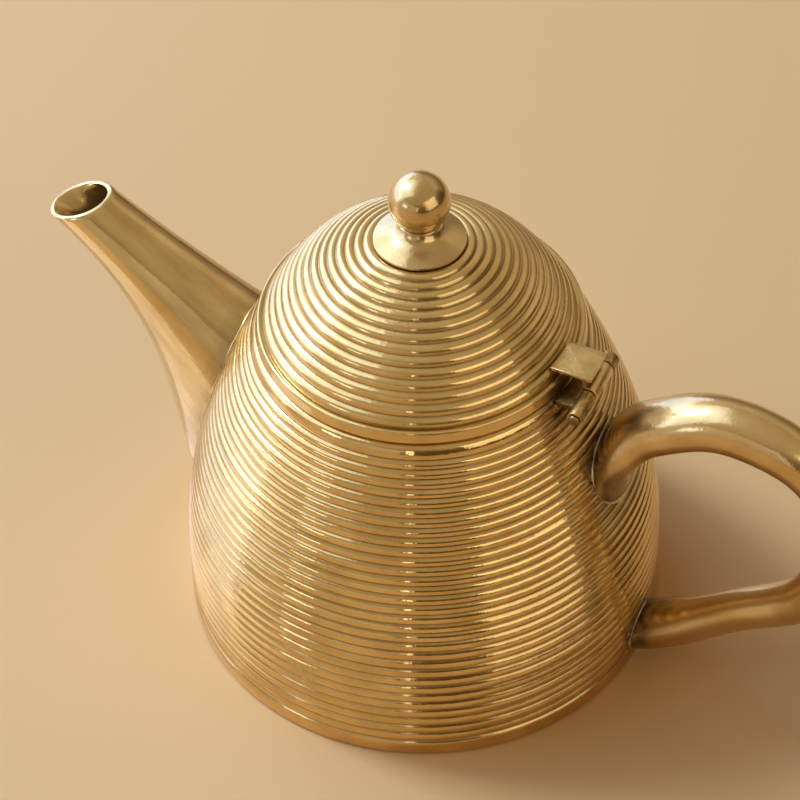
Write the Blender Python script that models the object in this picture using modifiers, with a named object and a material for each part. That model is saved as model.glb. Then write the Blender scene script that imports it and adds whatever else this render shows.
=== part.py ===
"""Ribbed brass teapot: a spun beehive body with a hinged dome lid, a plain spout and a loop handle.

Metres, +Z up. The origin is the centre of the flat base. The spout points to -X, the handle to +X.
"""
import math

import bmesh
import bpy
from mathutils import Matrix, Vector

MM = 0.001

# Outline shared by the body and the lid: two curves that meet at the seam
FOOT_RADIUS = 55.0 * MM
SEAM_RADIUS = 36.2 * MM
SEAM_HEIGHT = 81.2 * MM
SEAM_LEAN = math.radians(26.0)
CROWN_RISE = 26.8 * MM
FOOT_REACH = 28.0 * MM
SHOULDER_REACH = 43.0 * MM
LID_REACH = 18.0 * MM
CROWN_REACH = 16.8 * MM

# Ribs, with plain bands at the foot, the rim and the lid's edge
BODY_RIBS = 31
LID_RIBS = 14
RIB_DEPTH = 0.45 * MM
RIB_GRADING = 0.13
FOOT_BAND = 4.2 * MM
RIM_BAND = 3.4 * MM
LID_BAND = 3.1 * MM
LID_LIP = 0.7 * MM

# Sheet, clearances and roundness
WALL = 1.5 * MM
GAP = 0.3 * MM
SEAM_GAP = 0.4 * MM
BASE_THICKNESS = 1.6 * MM
ROUND_STEPS = 40
SMALL_STEPS = 20
FINIAL_STEPS = 24
STRAINER_STEPS = 10
BODY_STEPS = 14
LID_STEPS = 10
BAND_STEPS = 3
BALL_STEPS = 11
BEAD_STEPS = 5
FLARE_STEPS = 6
ENVELOPE_STEPS = 28
SMOOTH_ANGLE = math.radians(35.0)
RIB_SMOOTH_ANGLE = math.radians(25.0)

# Collar in the mouth and skirt under the lid
COLLAR_WALL = 1.4 * MM
COLLAR_DEPTH = 7.0 * MM
SKIRT_WALL = 1.2 * MM
SKIRT_DEPTH = 4.5 * MM
SKIRT_FLANGE = 1.5 * MM
SKIRT_CLEARANCE = 0.9 * MM

# Finial: a ball on a beaded neck and a flared foot, with a stud through the lid
BALL_RADIUS = 6.6 * MM
BALL_RISE = 10.2 * MM
NECK_RADIUS = 3.9 * MM
BEAD_RADIUS = 4.7 * MM
BEAD_RISE = 4.2 * MM
BEAD_HALF_HEIGHT = 0.6 * MM
FLARE_BEND_SHARE = 0.45
FINIAL_FOOT_RADIUS = 10.2 * MM
FINIAL_FOOT_EDGE = 0.6 * MM
STUD_RADIUS = 2.0 * MM
STUD_TAIL = 1.0 * MM
WASHER_RADIUS = 5.0 * MM
WASHER_THICKNESS = 0.8 * MM
NUT_RADIUS = 4.0 * MM
NUT_THICKNESS = 3.2 * MM

# Spout: an oval tube along a curve, its mouth cut on a slant that falls towards the tip
SPOUT_WALL = 1.1 * MM
SPOUT_ROOT_HEIGHT = 38.0 * MM
SPOUT_ROOT_SINK = 16.0 * MM
SPOUT_REACH = 40.3 * MM
SPOUT_RISE = 54.3 * MM
SPOUT_LEAN_OUT = 15.9 * MM
SPOUT_LEAN_UP = 20.3 * MM
SPOUT_TIP_RUN = 33.4 * MM
SPOUT_TIP_SLOPE = math.radians(33.4)
SPOUT_HALF_HEIGHTS = (29.2 * MM, 15.8 * MM, 5.7 * MM, 6.2 * MM)
SPOUT_HALF_WIDTHS = (18.6 * MM, 11.9 * MM, 7.0 * MM, 6.8 * MM)
SPOUT_MOUTH_SHARE = 0.893
SPOUT_MOUTH_SLANT = math.radians(20.0)
SPOUT_SECTIONS = 11
SPOUT_STEPS = 24

# Strainer: holes pierced through the body wall behind the spout
STRAINER_HEIGHT = 47.0 * MM
STRAINER_HOLE_RADIUS = 1.8 * MM
STRAINER_PITCH = 7.0 * MM
STRAINER_ROWS = (2, 3, 2)

# Handle: a cast loop that hooks down into the shoulder and rises from the foot
HANDLE_TOP_ROOT_DROP = 27.2 * MM
HANDLE_FOOT_ROOT_HEIGHT = 8.4 * MM
HANDLE_SINK = 5.0 * MM
HANDLE_HOOK_OUT = 0.5 * MM
HANDLE_HOOK_RISE = 10.0 * MM
HANDLE_SHOULDER_DROP = 7.0 * MM
HANDLE_CREST_OUT = 20.5 * MM
HANDLE_CREST_DROP = 1.7 * MM
HANDLE_BACK_OUT = 39.8 * MM
HANDLE_BACK_HEIGHT = 53.0 * MM
HANDLE_BACK_SPAN = 28.0 * MM
HANDLE_ARM_OUT = 21.0 * MM
HANDLE_ARM_RISE = 13.0 * MM
HANDLE_FOOT_OUT = 2.0 * MM
HANDLE_ROOT_RADIUS = 6.9 * MM
HANDLE_CREST_RADIUS = 6.0 * MM
HANDLE_BACK_RADIUS = 5.3 * MM
HANDLE_ARM_RADIUS = 4.8 * MM
HANDLE_FOOT_RADIUS = 5.7 * MM
HANDLE_RESOLUTION = 4

# Hinge: a tab on the lid, knuckles on one pin, and a leaf on the body
HINGE_STAND_OFF = 5.4 * MM
HINGE_RISE = 0.9 * MM
KNUCKLE_RADIUS = 2.1 * MM
PIN_RADIUS = 0.9 * MM
TAB_WIDTH = 9.0 * MM
TAB_CENTRE = -1.7 * MM
TAB_RISE = 5.7 * MM
TAB_THICKNESS = 0.9 * MM
TAB_OVERHANG = 0.6 * MM
TAB_LEG_SET_BACK = 1.2 * MM
FAR_KNUCKLE = 3.0 * MM
NEAR_KNUCKLE = 7.4 * MM
KNUCKLE_END_GAP = 0.3 * MM
LEAF_THICKNESS = 1.1 * MM
LEAF_DROP = 2.2 * MM
PIN_BEAD_RADIUS = 1.6 * MM
PIN_TAIL = 0.7 * MM
AXIS_MARK_SIZE = 10.0 * MM

COLLECTION_NAME = "ribbed_brass_teapot"
CURVE_SAMPLES = 160


def clear_scene():
    """Removes whatever the file starts with."""
    for item in list(bpy.data.objects):
        bpy.data.objects.remove(item, do_unlink=True)


def make_collection(name):
    """Adds a collection to the scene."""
    collection = bpy.data.collections.new(name)
    bpy.context.scene.collection.children.link(collection)
    return collection


def make_material(name, colour, roughness, metallic):
    """Makes a Principled material."""
    material = bpy.data.materials.new(name)
    material.use_nodes = True
    shader = material.node_tree.nodes["Principled BSDF"]
    shader.inputs["Base Color"].default_value = (*colour, 1.0)
    shader.inputs["Roughness"].default_value = roughness
    shader.inputs["Metallic"].default_value = metallic
    return material


def bezier(points, t):
    """Returns the point at t on a cubic curve."""
    a, b, c, d = points
    s = 1.0 - t
    return a * s ** 3 + b * (3.0 * s * s * t) + c * (3.0 * s * t * t) + d * t ** 3


class Outline:
    """A turned outline, read by its length from the start."""

    def __init__(self, points):
        self.points = [bezier(points, i / CURVE_SAMPLES) for i in range(CURVE_SAMPLES + 1)]
        self.lengths = [0.0]
        for before, after in zip(self.points, self.points[1:]):
            self.lengths.append(self.lengths[-1] + (after - before).length)
        self.length = self.lengths[-1]

    def at(self, length, inset=0.0):
        """Returns the point at a length, moved in from the surface by an inset."""
        length = min(max(length, 0.0), self.length)
        i = 0
        while i < CURVE_SAMPLES - 1 and self.lengths[i + 1] < length:
            i += 1
        step = self.points[i + 1] - self.points[i]
        share = (length - self.lengths[i]) / step.length
        inward = Vector((-step.y, step.x)).normalized()
        return self.points[i] + step * share + inward * inset

    def length_at_height(self, height):
        """Returns the length at which the outline reaches a height."""
        for i in range(CURVE_SAMPLES):
            low, high = self.points[i].y, self.points[i + 1].y
            if low <= height <= high:
                share = (height - low) / (high - low)
                return self.lengths[i] + share * (self.lengths[i + 1] - self.lengths[i])
        return self.length

    def length_at_radius(self, radius):
        """Returns the length at which the outline has come in to a radius."""
        for i in range(CURVE_SAMPLES):
            if self.points[i + 1].x <= radius:
                share = (self.points[i].x - radius) / (self.points[i].x - self.points[i + 1].x)
                return self.lengths[i] + share * (self.lengths[i + 1] - self.lengths[i])
        return self.length

    def radius_at_height(self, height):
        """Returns the radius at a height."""
        return self.at(self.length_at_height(height)).x


def body_outline():
    """Returns the outline from the foot up to the seam."""
    seam = Vector((SEAM_RADIUS, SEAM_HEIGHT))
    lean = Vector((math.sin(SEAM_LEAN), -math.cos(SEAM_LEAN)))
    foot = Vector((FOOT_RADIUS, 0.0))
    return Outline((foot, foot + Vector((0.0, FOOT_REACH)), seam + lean * SHOULDER_REACH, seam))


def lid_outline():
    """Returns the outline from the seam up to the crown."""
    seam = Vector((SEAM_RADIUS, SEAM_HEIGHT))
    lean = Vector((-math.sin(SEAM_LEAN), math.cos(SEAM_LEAN)))
    crown = Vector((0.0, SEAM_HEIGHT + CROWN_RISE))
    return Outline((seam, seam + lean * LID_REACH, crown + Vector((CROWN_REACH, 0.0)), crown))


BODY = body_outline()
LID = lid_outline()
CROWN_SEAT = LID.at(LID.length_at_radius(FINIAL_FOOT_RADIUS)).y
HINGE_X = SEAM_RADIUS + HINGE_STAND_OFF
HINGE_Z = SEAM_HEIGHT + HINGE_RISE
TAB_NEAR = TAB_CENTRE - TAB_WIDTH / 2
TAB_FAR = TAB_CENTRE + TAB_WIDTH / 2


def link_mesh(name, mesh, collection, material=None):
    """Makes an object of a mesh in a collection."""
    item = bpy.data.objects.new(name, mesh)
    collection.objects.link(item)
    if material:
        mesh.materials.append(material)
    return item


def smooth(item, angle=SMOOTH_ANGLE):
    """Shades a piece smooth up to an edge angle."""
    item.data.shade_smooth()
    item.data.set_sharp_from_angle(angle=angle)


def turned(name, profile, collection, material=None, steps=ROUND_STEPS, closed=True):
    """Turns a profile of radius and height about Z."""
    mesh = bpy.data.meshes.new(name)
    edges = [(i, i + 1) for i in range(len(profile) - 1)]
    if closed:
        edges.append((len(profile) - 1, 0))
    mesh.from_pydata([(r, 0.0, z) for r, z in profile], edges, [])
    item = link_mesh(name, mesh, collection, material)
    screw = item.modifiers.new("turn", "SCREW")
    screw.axis = "Z"
    screw.angle = math.tau
    screw.steps = steps
    screw.render_steps = steps
    screw.use_merge_vertices = True
    screw.merge_threshold = 0.00001
    return item


def bake(item):
    """Replaces an object's data by the mesh it evaluates to, with its caps welded."""
    bpy.context.view_layer.update()
    evaluated = item.evaluated_get(bpy.context.evaluated_depsgraph_get())
    mesh = bpy.data.meshes.new_from_object(evaluated)
    work = bmesh.new()
    work.from_mesh(mesh)
    bmesh.ops.remove_doubles(work, verts=work.verts, dist=0.000001)
    bmesh.ops.recalc_face_normals(work, faces=work.faces)
    work.to_mesh(mesh)
    work.free()
    name = item.name
    collection = item.users_collection[0]
    place = item.matrix_world.copy()
    bpy.data.objects.remove(item, do_unlink=True)
    baked = link_mesh(name, mesh, collection)
    baked.matrix_world = place
    return baked


def boolean(item, tool, operation):
    """Adds an exact Boolean to a piece."""
    change = item.modifiers.new(f"{operation.lower()} {tool.name}", "BOOLEAN")
    change.operation = operation
    change.solver = "EXACT"
    change.object = tool


def hide_tool(item):
    """Marks a cutter or a joined shape as a guide."""
    item.hide_render = True
    item.display_type = "WIRE"


def box(name, low, high, collection, material=None):
    """Makes a box between two corners."""
    work = bmesh.new()
    bmesh.ops.create_cube(work, size=1.0)
    middle = (Vector(low) + Vector(high)) / 2
    size = Vector(high) - Vector(low)
    for vertex in work.verts:
        vertex.co = Vector(a * b for a, b in zip(vertex.co, size)) + middle
    mesh = bpy.data.meshes.new(name)
    work.to_mesh(mesh)
    work.free()
    return link_mesh(name, mesh, collection, material)


def rod(name, radius, start, end, collection, material=None, steps=SMALL_STEPS):
    """Makes a capped cylinder between two points."""
    start = Vector(start)
    end = Vector(end)
    along = end - start
    work = bmesh.new()
    bmesh.ops.create_cone(work, cap_ends=True, segments=steps, radius1=radius, radius2=radius,
                          depth=along.length)
    turn = Vector((0.0, 0.0, 1.0)).rotation_difference(along)
    for vertex in work.verts:
        vertex.co = turn @ vertex.co + (start + end) / 2
    mesh = bpy.data.meshes.new(name)
    work.to_mesh(mesh)
    work.free()
    return link_mesh(name, mesh, collection, material)


def ribbed(outline, start, end, ribs):
    """Lists the grooves and crests between two lengths of an outline, from the first groove."""
    points = []
    span = end - start
    for i in range(2 * ribs + 1):
        share = i / (2 * ribs)
        graded = share + RIB_GRADING * share * (1.0 - share)
        points.append(outline.at(start + span * graded, RIB_DEPTH if i % 2 == 0 else 0.0))
    return points


def plain(outline, start, end, inset, count):
    """Lists points along an outline at an inset."""
    return [outline.at(start + (end - start) * i / (count - 1), inset) for i in range(count)]


def make_envelope(collection):
    """Makes the solid that pieces on the outside are cut by: the outline with a gap round it."""
    points = plain(BODY, 0.0, BODY.length, -GAP, ENVELOPE_STEPS)
    points += plain(LID, 0.0, LID.length, -GAP, ENVELOPE_STEPS)[1:]
    profile = [(point.x, point.y) for point in reversed(points)]
    profile[0] = (0.0, profile[0][1])
    profile.append((points[0].x, -FOOT_BAND))
    profile.append((0.0, -FOOT_BAND))
    envelope = bake(turned("envelope_cutter", profile, collection, closed=False))
    hide_tool(envelope)
    return envelope


def make_body_shell(collection, cutters, material):
    """Spins the ribbed wall and pierces the strainer."""
    top = BODY.length_at_height(SEAM_HEIGHT - SEAM_GAP / 2)
    outer = [BODY.at(0.0)]
    outer += ribbed(BODY, FOOT_BAND, top - RIM_BAND, BODY_RIBS)
    outer += plain(BODY, top - RIM_BAND + RIB_DEPTH, top, 0.0, BAND_STEPS)
    inner = plain(BODY, 0.0, top, WALL, BODY_STEPS)
    profile = [(point.x, point.y) for point in reversed(outer)]
    profile += [(inner[0].x, outer[0].y)]
    profile += [(point.x, point.y) for point in inner[1:-1]]
    profile += [(inner[-1].x, outer[-1].y)]
    shell = turned("body_shell", profile, collection, material)
    wall = BODY.radius_at_height(STRAINER_HEIGHT)
    first_row = (len(STRAINER_ROWS) - 1) / 2
    for row, count in enumerate(STRAINER_ROWS):
        height = STRAINER_HEIGHT + (first_row - row) * STRAINER_PITCH * math.sin(math.pi / 3)
        for column in range(count):
            side = (column - (count - 1) / 2) * STRAINER_PITCH
            hole = rod(f"strainer_cutter_{row}_{column}", STRAINER_HOLE_RADIUS,
                       (-wall - 3 * WALL, side, height), (-wall + 6 * WALL, side, height), cutters,
                       steps=STRAINER_STEPS)
            hide_tool(hole)
            boolean(shell, hole, "DIFFERENCE")
    smooth(shell, RIB_SMOOTH_ANGLE)
    return shell


def make_base_disc(collection, material):
    """Makes the flat bottom inside the foot of the wall."""
    top = BODY.at(BODY.length_at_height(BASE_THICKNESS), WALL).x - GAP
    edge = BODY.at(0.0, WALL).x - GAP
    profile = [(0.0, BASE_THICKNESS), (top, BASE_THICKNESS), (edge, 0.0), (0.0, 0.0)]
    disc = turned("base_disc", profile, collection, material, closed=False)
    smooth(disc)
    return disc


def collar_radius():
    """Returns the outer radius of the collar in the mouth."""
    return BODY.at(BODY.length_at_height(SEAM_HEIGHT - SEAM_GAP / 2), WALL).x - GAP


def make_mouth_collar(collection, material):
    """Makes the collar that the lid's skirt drops into."""
    outer = collar_radius()
    inner = outer - COLLAR_WALL
    top = SEAM_HEIGHT - SEAM_GAP / 2
    low = top - COLLAR_DEPTH
    profile = [(outer, top), (outer, low), (inner, low), (inner, top)]
    collar = turned("mouth_collar", profile, collection, material)
    smooth(collar)
    return collar


def make_lid_shell(collection, material):
    """Spins the ribbed dome with its steep plain band and the hole for the stud."""
    start = LID.length_at_height(SEAM_HEIGHT + SEAM_GAP / 2)
    crown = LID.length_at_radius(FINIAL_FOOT_RADIUS)
    hole = STUD_RADIUS + GAP
    outer = [LID.at(start), LID.at(start + LID_BAND - RIB_DEPTH, -LID_LIP)]
    outer += ribbed(LID, start + LID_BAND, crown, LID_RIBS)
    inner = plain(LID, start, crown, WALL, LID_STEPS)
    profile = [(hole, CROWN_SEAT - RIB_DEPTH)]
    profile += [(point.x, point.y) for point in reversed(outer)]
    profile += [(inner[0].x, outer[0].y)]
    profile += [(point.x, point.y) for point in inner[1:]]
    profile += [(hole, inner[-1].y)]
    shell = turned("lid_shell", profile, collection, material)
    smooth(shell, RIB_SMOOTH_ANGLE)
    return shell


def make_lid_skirt(collection, material):
    """Makes the flanged ring that rests on the collar and centres the lid."""
    outer = collar_radius() - COLLAR_WALL - SKIRT_CLEARANCE
    inner = outer - SKIRT_WALL
    seat = SEAM_HEIGHT + SEAM_GAP / 2
    top = seat + SKIRT_FLANGE
    low = SEAM_HEIGHT - SEAM_GAP / 2 - SKIRT_DEPTH
    edge_low = LID.at(LID.length_at_height(seat), WALL).x - GAP
    edge_top = LID.at(LID.length_at_height(top), WALL).x - GAP
    profile = [(edge_top, top), (edge_low, seat), (outer, seat), (outer, low), (inner, low), (inner, top)]
    skirt = turned("lid_skirt", profile, collection, material)
    smooth(skirt)
    return skirt


def make_finial(collection, material):
    """Turns the ball, the beaded neck, the flared foot and the stud."""
    seat = CROWN_SEAT - RIB_DEPTH + GAP
    centre = CROWN_SEAT + BALL_RISE
    joint = math.asin(NECK_RADIUS / BALL_RADIUS)
    profile = []
    for i in range(BALL_STEPS):
        angle = (math.pi - joint) * i / (BALL_STEPS - 1)
        profile.append((BALL_RADIUS * math.sin(angle), centre + BALL_RADIUS * math.cos(angle)))
    bead = CROWN_SEAT + BEAD_RISE
    for i in range(BEAD_STEPS):
        angle = math.pi * i / (BEAD_STEPS - 1)
        bulge = (BEAD_RADIUS - NECK_RADIUS) * math.sin(angle)
        profile.append((NECK_RADIUS + bulge, bead + BEAD_HALF_HEIGHT * math.cos(angle)))
    flare_top = bead - BEAD_HALF_HEIGHT
    edge = seat + FINIAL_FOOT_EDGE
    for i in range(1, FLARE_STEPS):
        share = i / (FLARE_STEPS - 1)
        radius = NECK_RADIUS + (FINIAL_FOOT_RADIUS - NECK_RADIUS) * share
        fall = share + FLARE_BEND_SHARE * share * (1.0 - share)
        profile.append((radius, flare_top + (edge - flare_top) * fall))
    tail = seat - GAP - WALL - 2 * GAP - WASHER_THICKNESS - NUT_THICKNESS - STUD_TAIL
    profile += [(FINIAL_FOOT_RADIUS, seat), (STUD_RADIUS, seat), (STUD_RADIUS, tail), (0.0, tail)]
    profile[0] = (0.0, profile[0][1])
    finial = turned("finial_knob", profile, collection, material, FINIAL_STEPS, closed=False)
    smooth(finial)
    return finial


def under_crown():
    """Returns the height of the flat inside of the lid's crown."""
    return LID.at(LID.length_at_radius(FINIAL_FOOT_RADIUS), WALL).y


def make_washer(collection, material):
    """Makes the washer under the crown."""
    top = under_crown() - GAP
    low = top - WASHER_THICKNESS
    bore = STUD_RADIUS + GAP
    profile = [(WASHER_RADIUS, top), (WASHER_RADIUS, low), (bore, low), (bore, top)]
    washer = turned("finial_washer", profile, collection, material, FINIAL_STEPS)
    smooth(washer)
    return washer


def make_nut(collection, cutters, material):
    """Makes the hexagon nut on the stud."""
    top = under_crown() - WASHER_THICKNESS - 2 * GAP
    low = top - NUT_THICKNESS
    nut = rod("finial_nut", NUT_RADIUS, (0.0, 0.0, low), (0.0, 0.0, top), collection, material, steps=6)
    bore = rod("nut_bore_cutter", STUD_RADIUS + GAP, (0.0, 0.0, low - NUT_THICKNESS),
               (0.0, 0.0, top + NUT_THICKNESS), cutters, steps=FINIAL_STEPS)
    hide_tool(bore)
    boolean(nut, bore, "DIFFERENCE")
    return nut


def make_spout(collection, cutters, envelope, material):
    """Lofts the oval spout, open at both ends, and cuts its root and its mouth."""
    wall = BODY.radius_at_height(SPOUT_ROOT_HEIGHT)
    root = Vector((-(wall - SPOUT_ROOT_SINK), SPOUT_ROOT_HEIGHT))
    tip = Vector((-(wall + SPOUT_REACH), SPOUT_ROOT_HEIGHT + SPOUT_RISE))
    slope = Vector((math.cos(SPOUT_TIP_SLOPE), -math.sin(SPOUT_TIP_SLOPE)))
    path = (root, root + Vector((-SPOUT_LEAN_OUT, SPOUT_LEAN_UP)), tip + slope * SPOUT_TIP_RUN, tip)
    work = bmesh.new()
    layers = ([], [])
    for i in range(SPOUT_SECTIONS):
        t = i / (SPOUT_SECTIONS - 1)
        centre = bezier(path, t)
        ahead = (bezier(path, min(t + 0.01, 1.0)) - bezier(path, max(t - 0.01, 0.0))).normalized()
        across = Vector((-ahead.y, ahead.x))
        for layer, thinner in zip(layers, (0.0, SPOUT_WALL)):
            height = bezier(SPOUT_HALF_HEIGHTS, t) - thinner
            width = bezier(SPOUT_HALF_WIDTHS, t) - thinner
            ring = []
            for k in range(SPOUT_STEPS):
                angle = math.tau * k / SPOUT_STEPS
                point = centre + across * (height * math.cos(angle))
                ring.append(work.verts.new((point.x, width * math.sin(angle), point.y)))
            layer.append(ring)
    outer, inner = layers
    for rings in (outer, inner):
        for before, after in zip(rings, rings[1:]):
            bridge(work, before, after)
    bridge(work, outer[0], inner[0])
    bridge(work, outer[-1], inner[-1])
    bmesh.ops.recalc_face_normals(work, faces=work.faces)
    mesh = bpy.data.meshes.new("spout")
    work.to_mesh(mesh)
    work.free()
    spout = link_mesh("spout", mesh, collection, material)
    boolean(spout, envelope, "DIFFERENCE")
    reach = SPOUT_REACH
    mouth = box("mouth_cutter", (-reach, -reach, 0.0), (reach, reach, reach), cutters)
    place = bezier(path, SPOUT_MOUTH_SHARE)
    mouth.matrix_world = (Matrix.Translation((place.x, 0.0, place.y))
                          @ Matrix.Rotation(-SPOUT_MOUTH_SLANT, 4, "Y"))
    hide_tool(mouth)
    boolean(spout, mouth, "DIFFERENCE")
    smooth(spout)
    return spout


def bridge(work, before, after):
    """Joins two rings of vertices with faces."""
    count = len(before)
    for k in range(count):
        following = (k + 1) % count
        work.faces.new((before[k], before[following], after[following], after[k]))


def make_handle(collection, envelope, material):
    """Bends the handle's bar and cuts both of its roots to the body."""
    top_root = SEAM_HEIGHT - HANDLE_TOP_ROOT_DROP
    crest = SEAM_HEIGHT - HANDLE_CREST_DROP
    top_wall = BODY.radius_at_height(top_root)
    foot_wall = BODY.radius_at_height(HANDLE_FOOT_ROOT_HEIGHT)
    back = FOOT_RADIUS + HANDLE_BACK_OUT
    # Each stop: distance from the axis, height, radius of the bar
    stops = (
        (top_wall - HANDLE_SINK, top_root - HANDLE_SINK, HANDLE_ROOT_RADIUS),
        (top_wall + HANDLE_HOOK_OUT, top_root + HANDLE_HOOK_RISE, HANDLE_ROOT_RADIUS),
        (FOOT_RADIUS, crest - HANDLE_SHOULDER_DROP, HANDLE_CREST_RADIUS),
        (FOOT_RADIUS + HANDLE_CREST_OUT, crest, HANDLE_CREST_RADIUS),
        (back, HANDLE_BACK_HEIGHT + HANDLE_BACK_SPAN / 2, HANDLE_BACK_RADIUS),
        (back, HANDLE_BACK_HEIGHT - HANDLE_BACK_SPAN / 2, HANDLE_BACK_RADIUS),
        (FOOT_RADIUS + HANDLE_ARM_OUT, HANDLE_FOOT_ROOT_HEIGHT + HANDLE_ARM_RISE, HANDLE_ARM_RADIUS),
        (foot_wall + HANDLE_FOOT_OUT, HANDLE_FOOT_ROOT_HEIGHT, HANDLE_FOOT_RADIUS),
        (foot_wall - HANDLE_SINK, HANDLE_FOOT_ROOT_HEIGHT - HANDLE_SINK / 2, HANDLE_FOOT_RADIUS),
    )
    curve = bpy.data.curves.new("handle", "CURVE")
    curve.dimensions = "3D"
    curve.resolution_u = HANDLE_RESOLUTION
    curve.bevel_depth = 1.0
    curve.bevel_resolution = 3
    curve.use_fill_caps = True
    spline = curve.splines.new("BEZIER")
    spline.bezier_points.add(len(stops) - 1)
    for point, (out, height, radius) in zip(spline.bezier_points, stops):
        point.co = (out, 0.0, height)
        point.handle_left_type = "AUTO"
        point.handle_right_type = "AUTO"
        point.radius = radius
    item = bpy.data.objects.new("handle", curve)
    collection.objects.link(item)
    handle = bake(item)
    handle.data.materials.append(material)
    boolean(handle, envelope, "DIFFERENCE")
    smooth(handle)
    return handle


def pin_bore(name, cutters):
    """Makes the cutter for the pin's bore through every knuckle."""
    far = TAB_FAR + 2 * FAR_KNUCKLE
    near = TAB_NEAR - 2 * NEAR_KNUCKLE
    bore = rod(name, PIN_RADIUS + GAP, (HINGE_X, near, HINGE_Z), (HINGE_X, far, HINGE_Z), cutters)
    hide_tool(bore)
    return bore


def make_lid_leaf(collection, cutters, envelope, bore, material):
    """Makes the tab on the lid, the leg under it and its knuckle."""
    top = SEAM_HEIGHT + TAB_RISE
    edge = HINGE_X + TAB_OVERHANG
    inner = LID.radius_at_height(top) - WALL
    leaf = box("lid_hinge_leaf", (inner, TAB_NEAR, top - TAB_THICKNESS), (edge, TAB_FAR, top),
               collection, material)
    leg_face = edge - TAB_LEG_SET_BACK
    leg = box("tab_leg_tool", (leg_face - TAB_THICKNESS, TAB_NEAR + GAP, HINGE_Z),
              (leg_face, TAB_FAR - GAP, top - TAB_THICKNESS / 2), cutters)
    knuckle = rod("tab_knuckle_tool", KNUCKLE_RADIUS, (HINGE_X, TAB_NEAR, HINGE_Z),
                  (HINGE_X, TAB_FAR, HINGE_Z), cutters)
    for tool in (leg, knuckle):
        hide_tool(tool)
        boolean(leaf, tool, "UNION")
    boolean(leaf, bore, "DIFFERENCE")
    boolean(leaf, envelope, "DIFFERENCE")
    smooth(leaf)
    return leaf


def make_body_leaf(collection, cutters, envelope, bore, material):
    """Makes the leaf on the body, notched for the tab's knuckle, with a knuckle at each side."""
    far_start = TAB_FAR + KNUCKLE_END_GAP
    near_start = TAB_NEAR - KNUCKLE_END_GAP
    far_end = far_start + FAR_KNUCKLE
    near_end = near_start - NEAR_KNUCKLE
    low = HINGE_Z - LEAF_DROP
    top = low + LEAF_THICKNESS
    leaf = box("body_hinge_leaf", (BODY.radius_at_height(low) - WALL, near_end + GAP, low),
               (HINGE_X, far_end - GAP, top), collection, material)
    notch = box("leaf_notch_cutter", (HINGE_X - KNUCKLE_RADIUS - GAP, near_start - GAP, low - LEAF_DROP),
                (HINGE_X + KNUCKLE_RADIUS, far_start + GAP, top + LEAF_DROP), cutters)
    hide_tool(notch)
    boolean(leaf, notch, "DIFFERENCE")
    for side, start, end in (("far", far_start, far_end), ("near", near_end, near_start)):
        knuckle = rod(f"{side}_knuckle_tool", KNUCKLE_RADIUS, (HINGE_X, start, HINGE_Z),
                      (HINGE_X, end, HINGE_Z), cutters)
        hide_tool(knuckle)
        boolean(leaf, knuckle, "UNION")
    boolean(leaf, bore, "DIFFERENCE")
    boolean(leaf, envelope, "DIFFERENCE")
    smooth(leaf)
    return leaf


def make_hinge_pin(collection, cutters, material):
    """Makes the pin with its peened bead at the near end."""
    far_end = TAB_FAR + KNUCKLE_END_GAP + FAR_KNUCKLE + PIN_TAIL
    near_end = TAB_NEAR - KNUCKLE_END_GAP - NEAR_KNUCKLE - GAP
    pin = rod("hinge_pin", PIN_RADIUS, (HINGE_X, near_end - PIN_TAIL / 2, HINGE_Z),
              (HINGE_X, far_end, HINGE_Z), collection, material)
    bead = rod("pin_bead_tool", PIN_BEAD_RADIUS, (HINGE_X, near_end - PIN_TAIL, HINGE_Z),
               (HINGE_X, near_end, HINGE_Z), cutters)
    hide_tool(bead)
    boolean(pin, bead, "UNION")
    smooth(pin)
    return pin


def hang_on_hinge(pieces, collection):
    """Parents the lid's pieces to an empty on the hinge axis."""
    axis = bpy.data.objects.new("lid_hinge_axis", None)
    axis.empty_display_size = AXIS_MARK_SIZE
    axis.location = (HINGE_X, 0.0, HINGE_Z)
    collection.objects.link(axis)
    bpy.context.view_layer.update()
    for piece in pieces:
        piece.parent = axis
        piece.matrix_parent_inverse = axis.matrix_world.inverted()


def main():
    """Builds the teapot."""
    clear_scene()
    parts = make_collection(COLLECTION_NAME)
    cutters = make_collection("cutters")
    ribbed_brass = make_material("ribbed_brass", (0.80, 0.58, 0.25), 0.22, 1.0)
    plain_brass = make_material("plain_brass", (0.76, 0.55, 0.24), 0.26, 1.0)
    polished_brass = make_material("polished_brass", (0.82, 0.58, 0.24), 0.12, 1.0)
    dull_brass = make_material("dull_brass", (0.66, 0.50, 0.25), 0.42, 1.0)
    envelope = make_envelope(cutters)
    bore = pin_bore("pin_bore_cutter", cutters)
    make_body_shell(parts, cutters, ribbed_brass.copy())
    make_base_disc(parts, dull_brass.copy())
    make_mouth_collar(parts, plain_brass.copy())
    make_spout(parts, cutters, envelope, plain_brass.copy())
    make_handle(parts, envelope, plain_brass.copy())
    make_body_leaf(parts, cutters, envelope, bore, dull_brass.copy())
    make_hinge_pin(parts, cutters, dull_brass.copy())
    lid_pieces = [
        make_lid_shell(parts, ribbed_brass.copy()),
        make_lid_skirt(parts, plain_brass.copy()),
        make_finial(parts, polished_brass.copy()),
        make_washer(parts, dull_brass.copy()),
        make_nut(parts, cutters, dull_brass.copy()),
        make_lid_leaf(parts, cutters, envelope, bore, dull_brass.copy()),
    ]
    hang_on_hinge(lid_pieces, parts)


main()
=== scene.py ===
"""Dresses the ribbed brass teapot: fine turned shapes, soldered joints, polished brass and soft light.

Metres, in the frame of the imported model. The spout points to -X and the handle to +X.
"""
import math
import random

import bmesh
import bpy
from mathutils import Matrix, Vector, noise
from mathutils.geometry import interpolate_bezier
from mathutils.kdtree import KDTree


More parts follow.
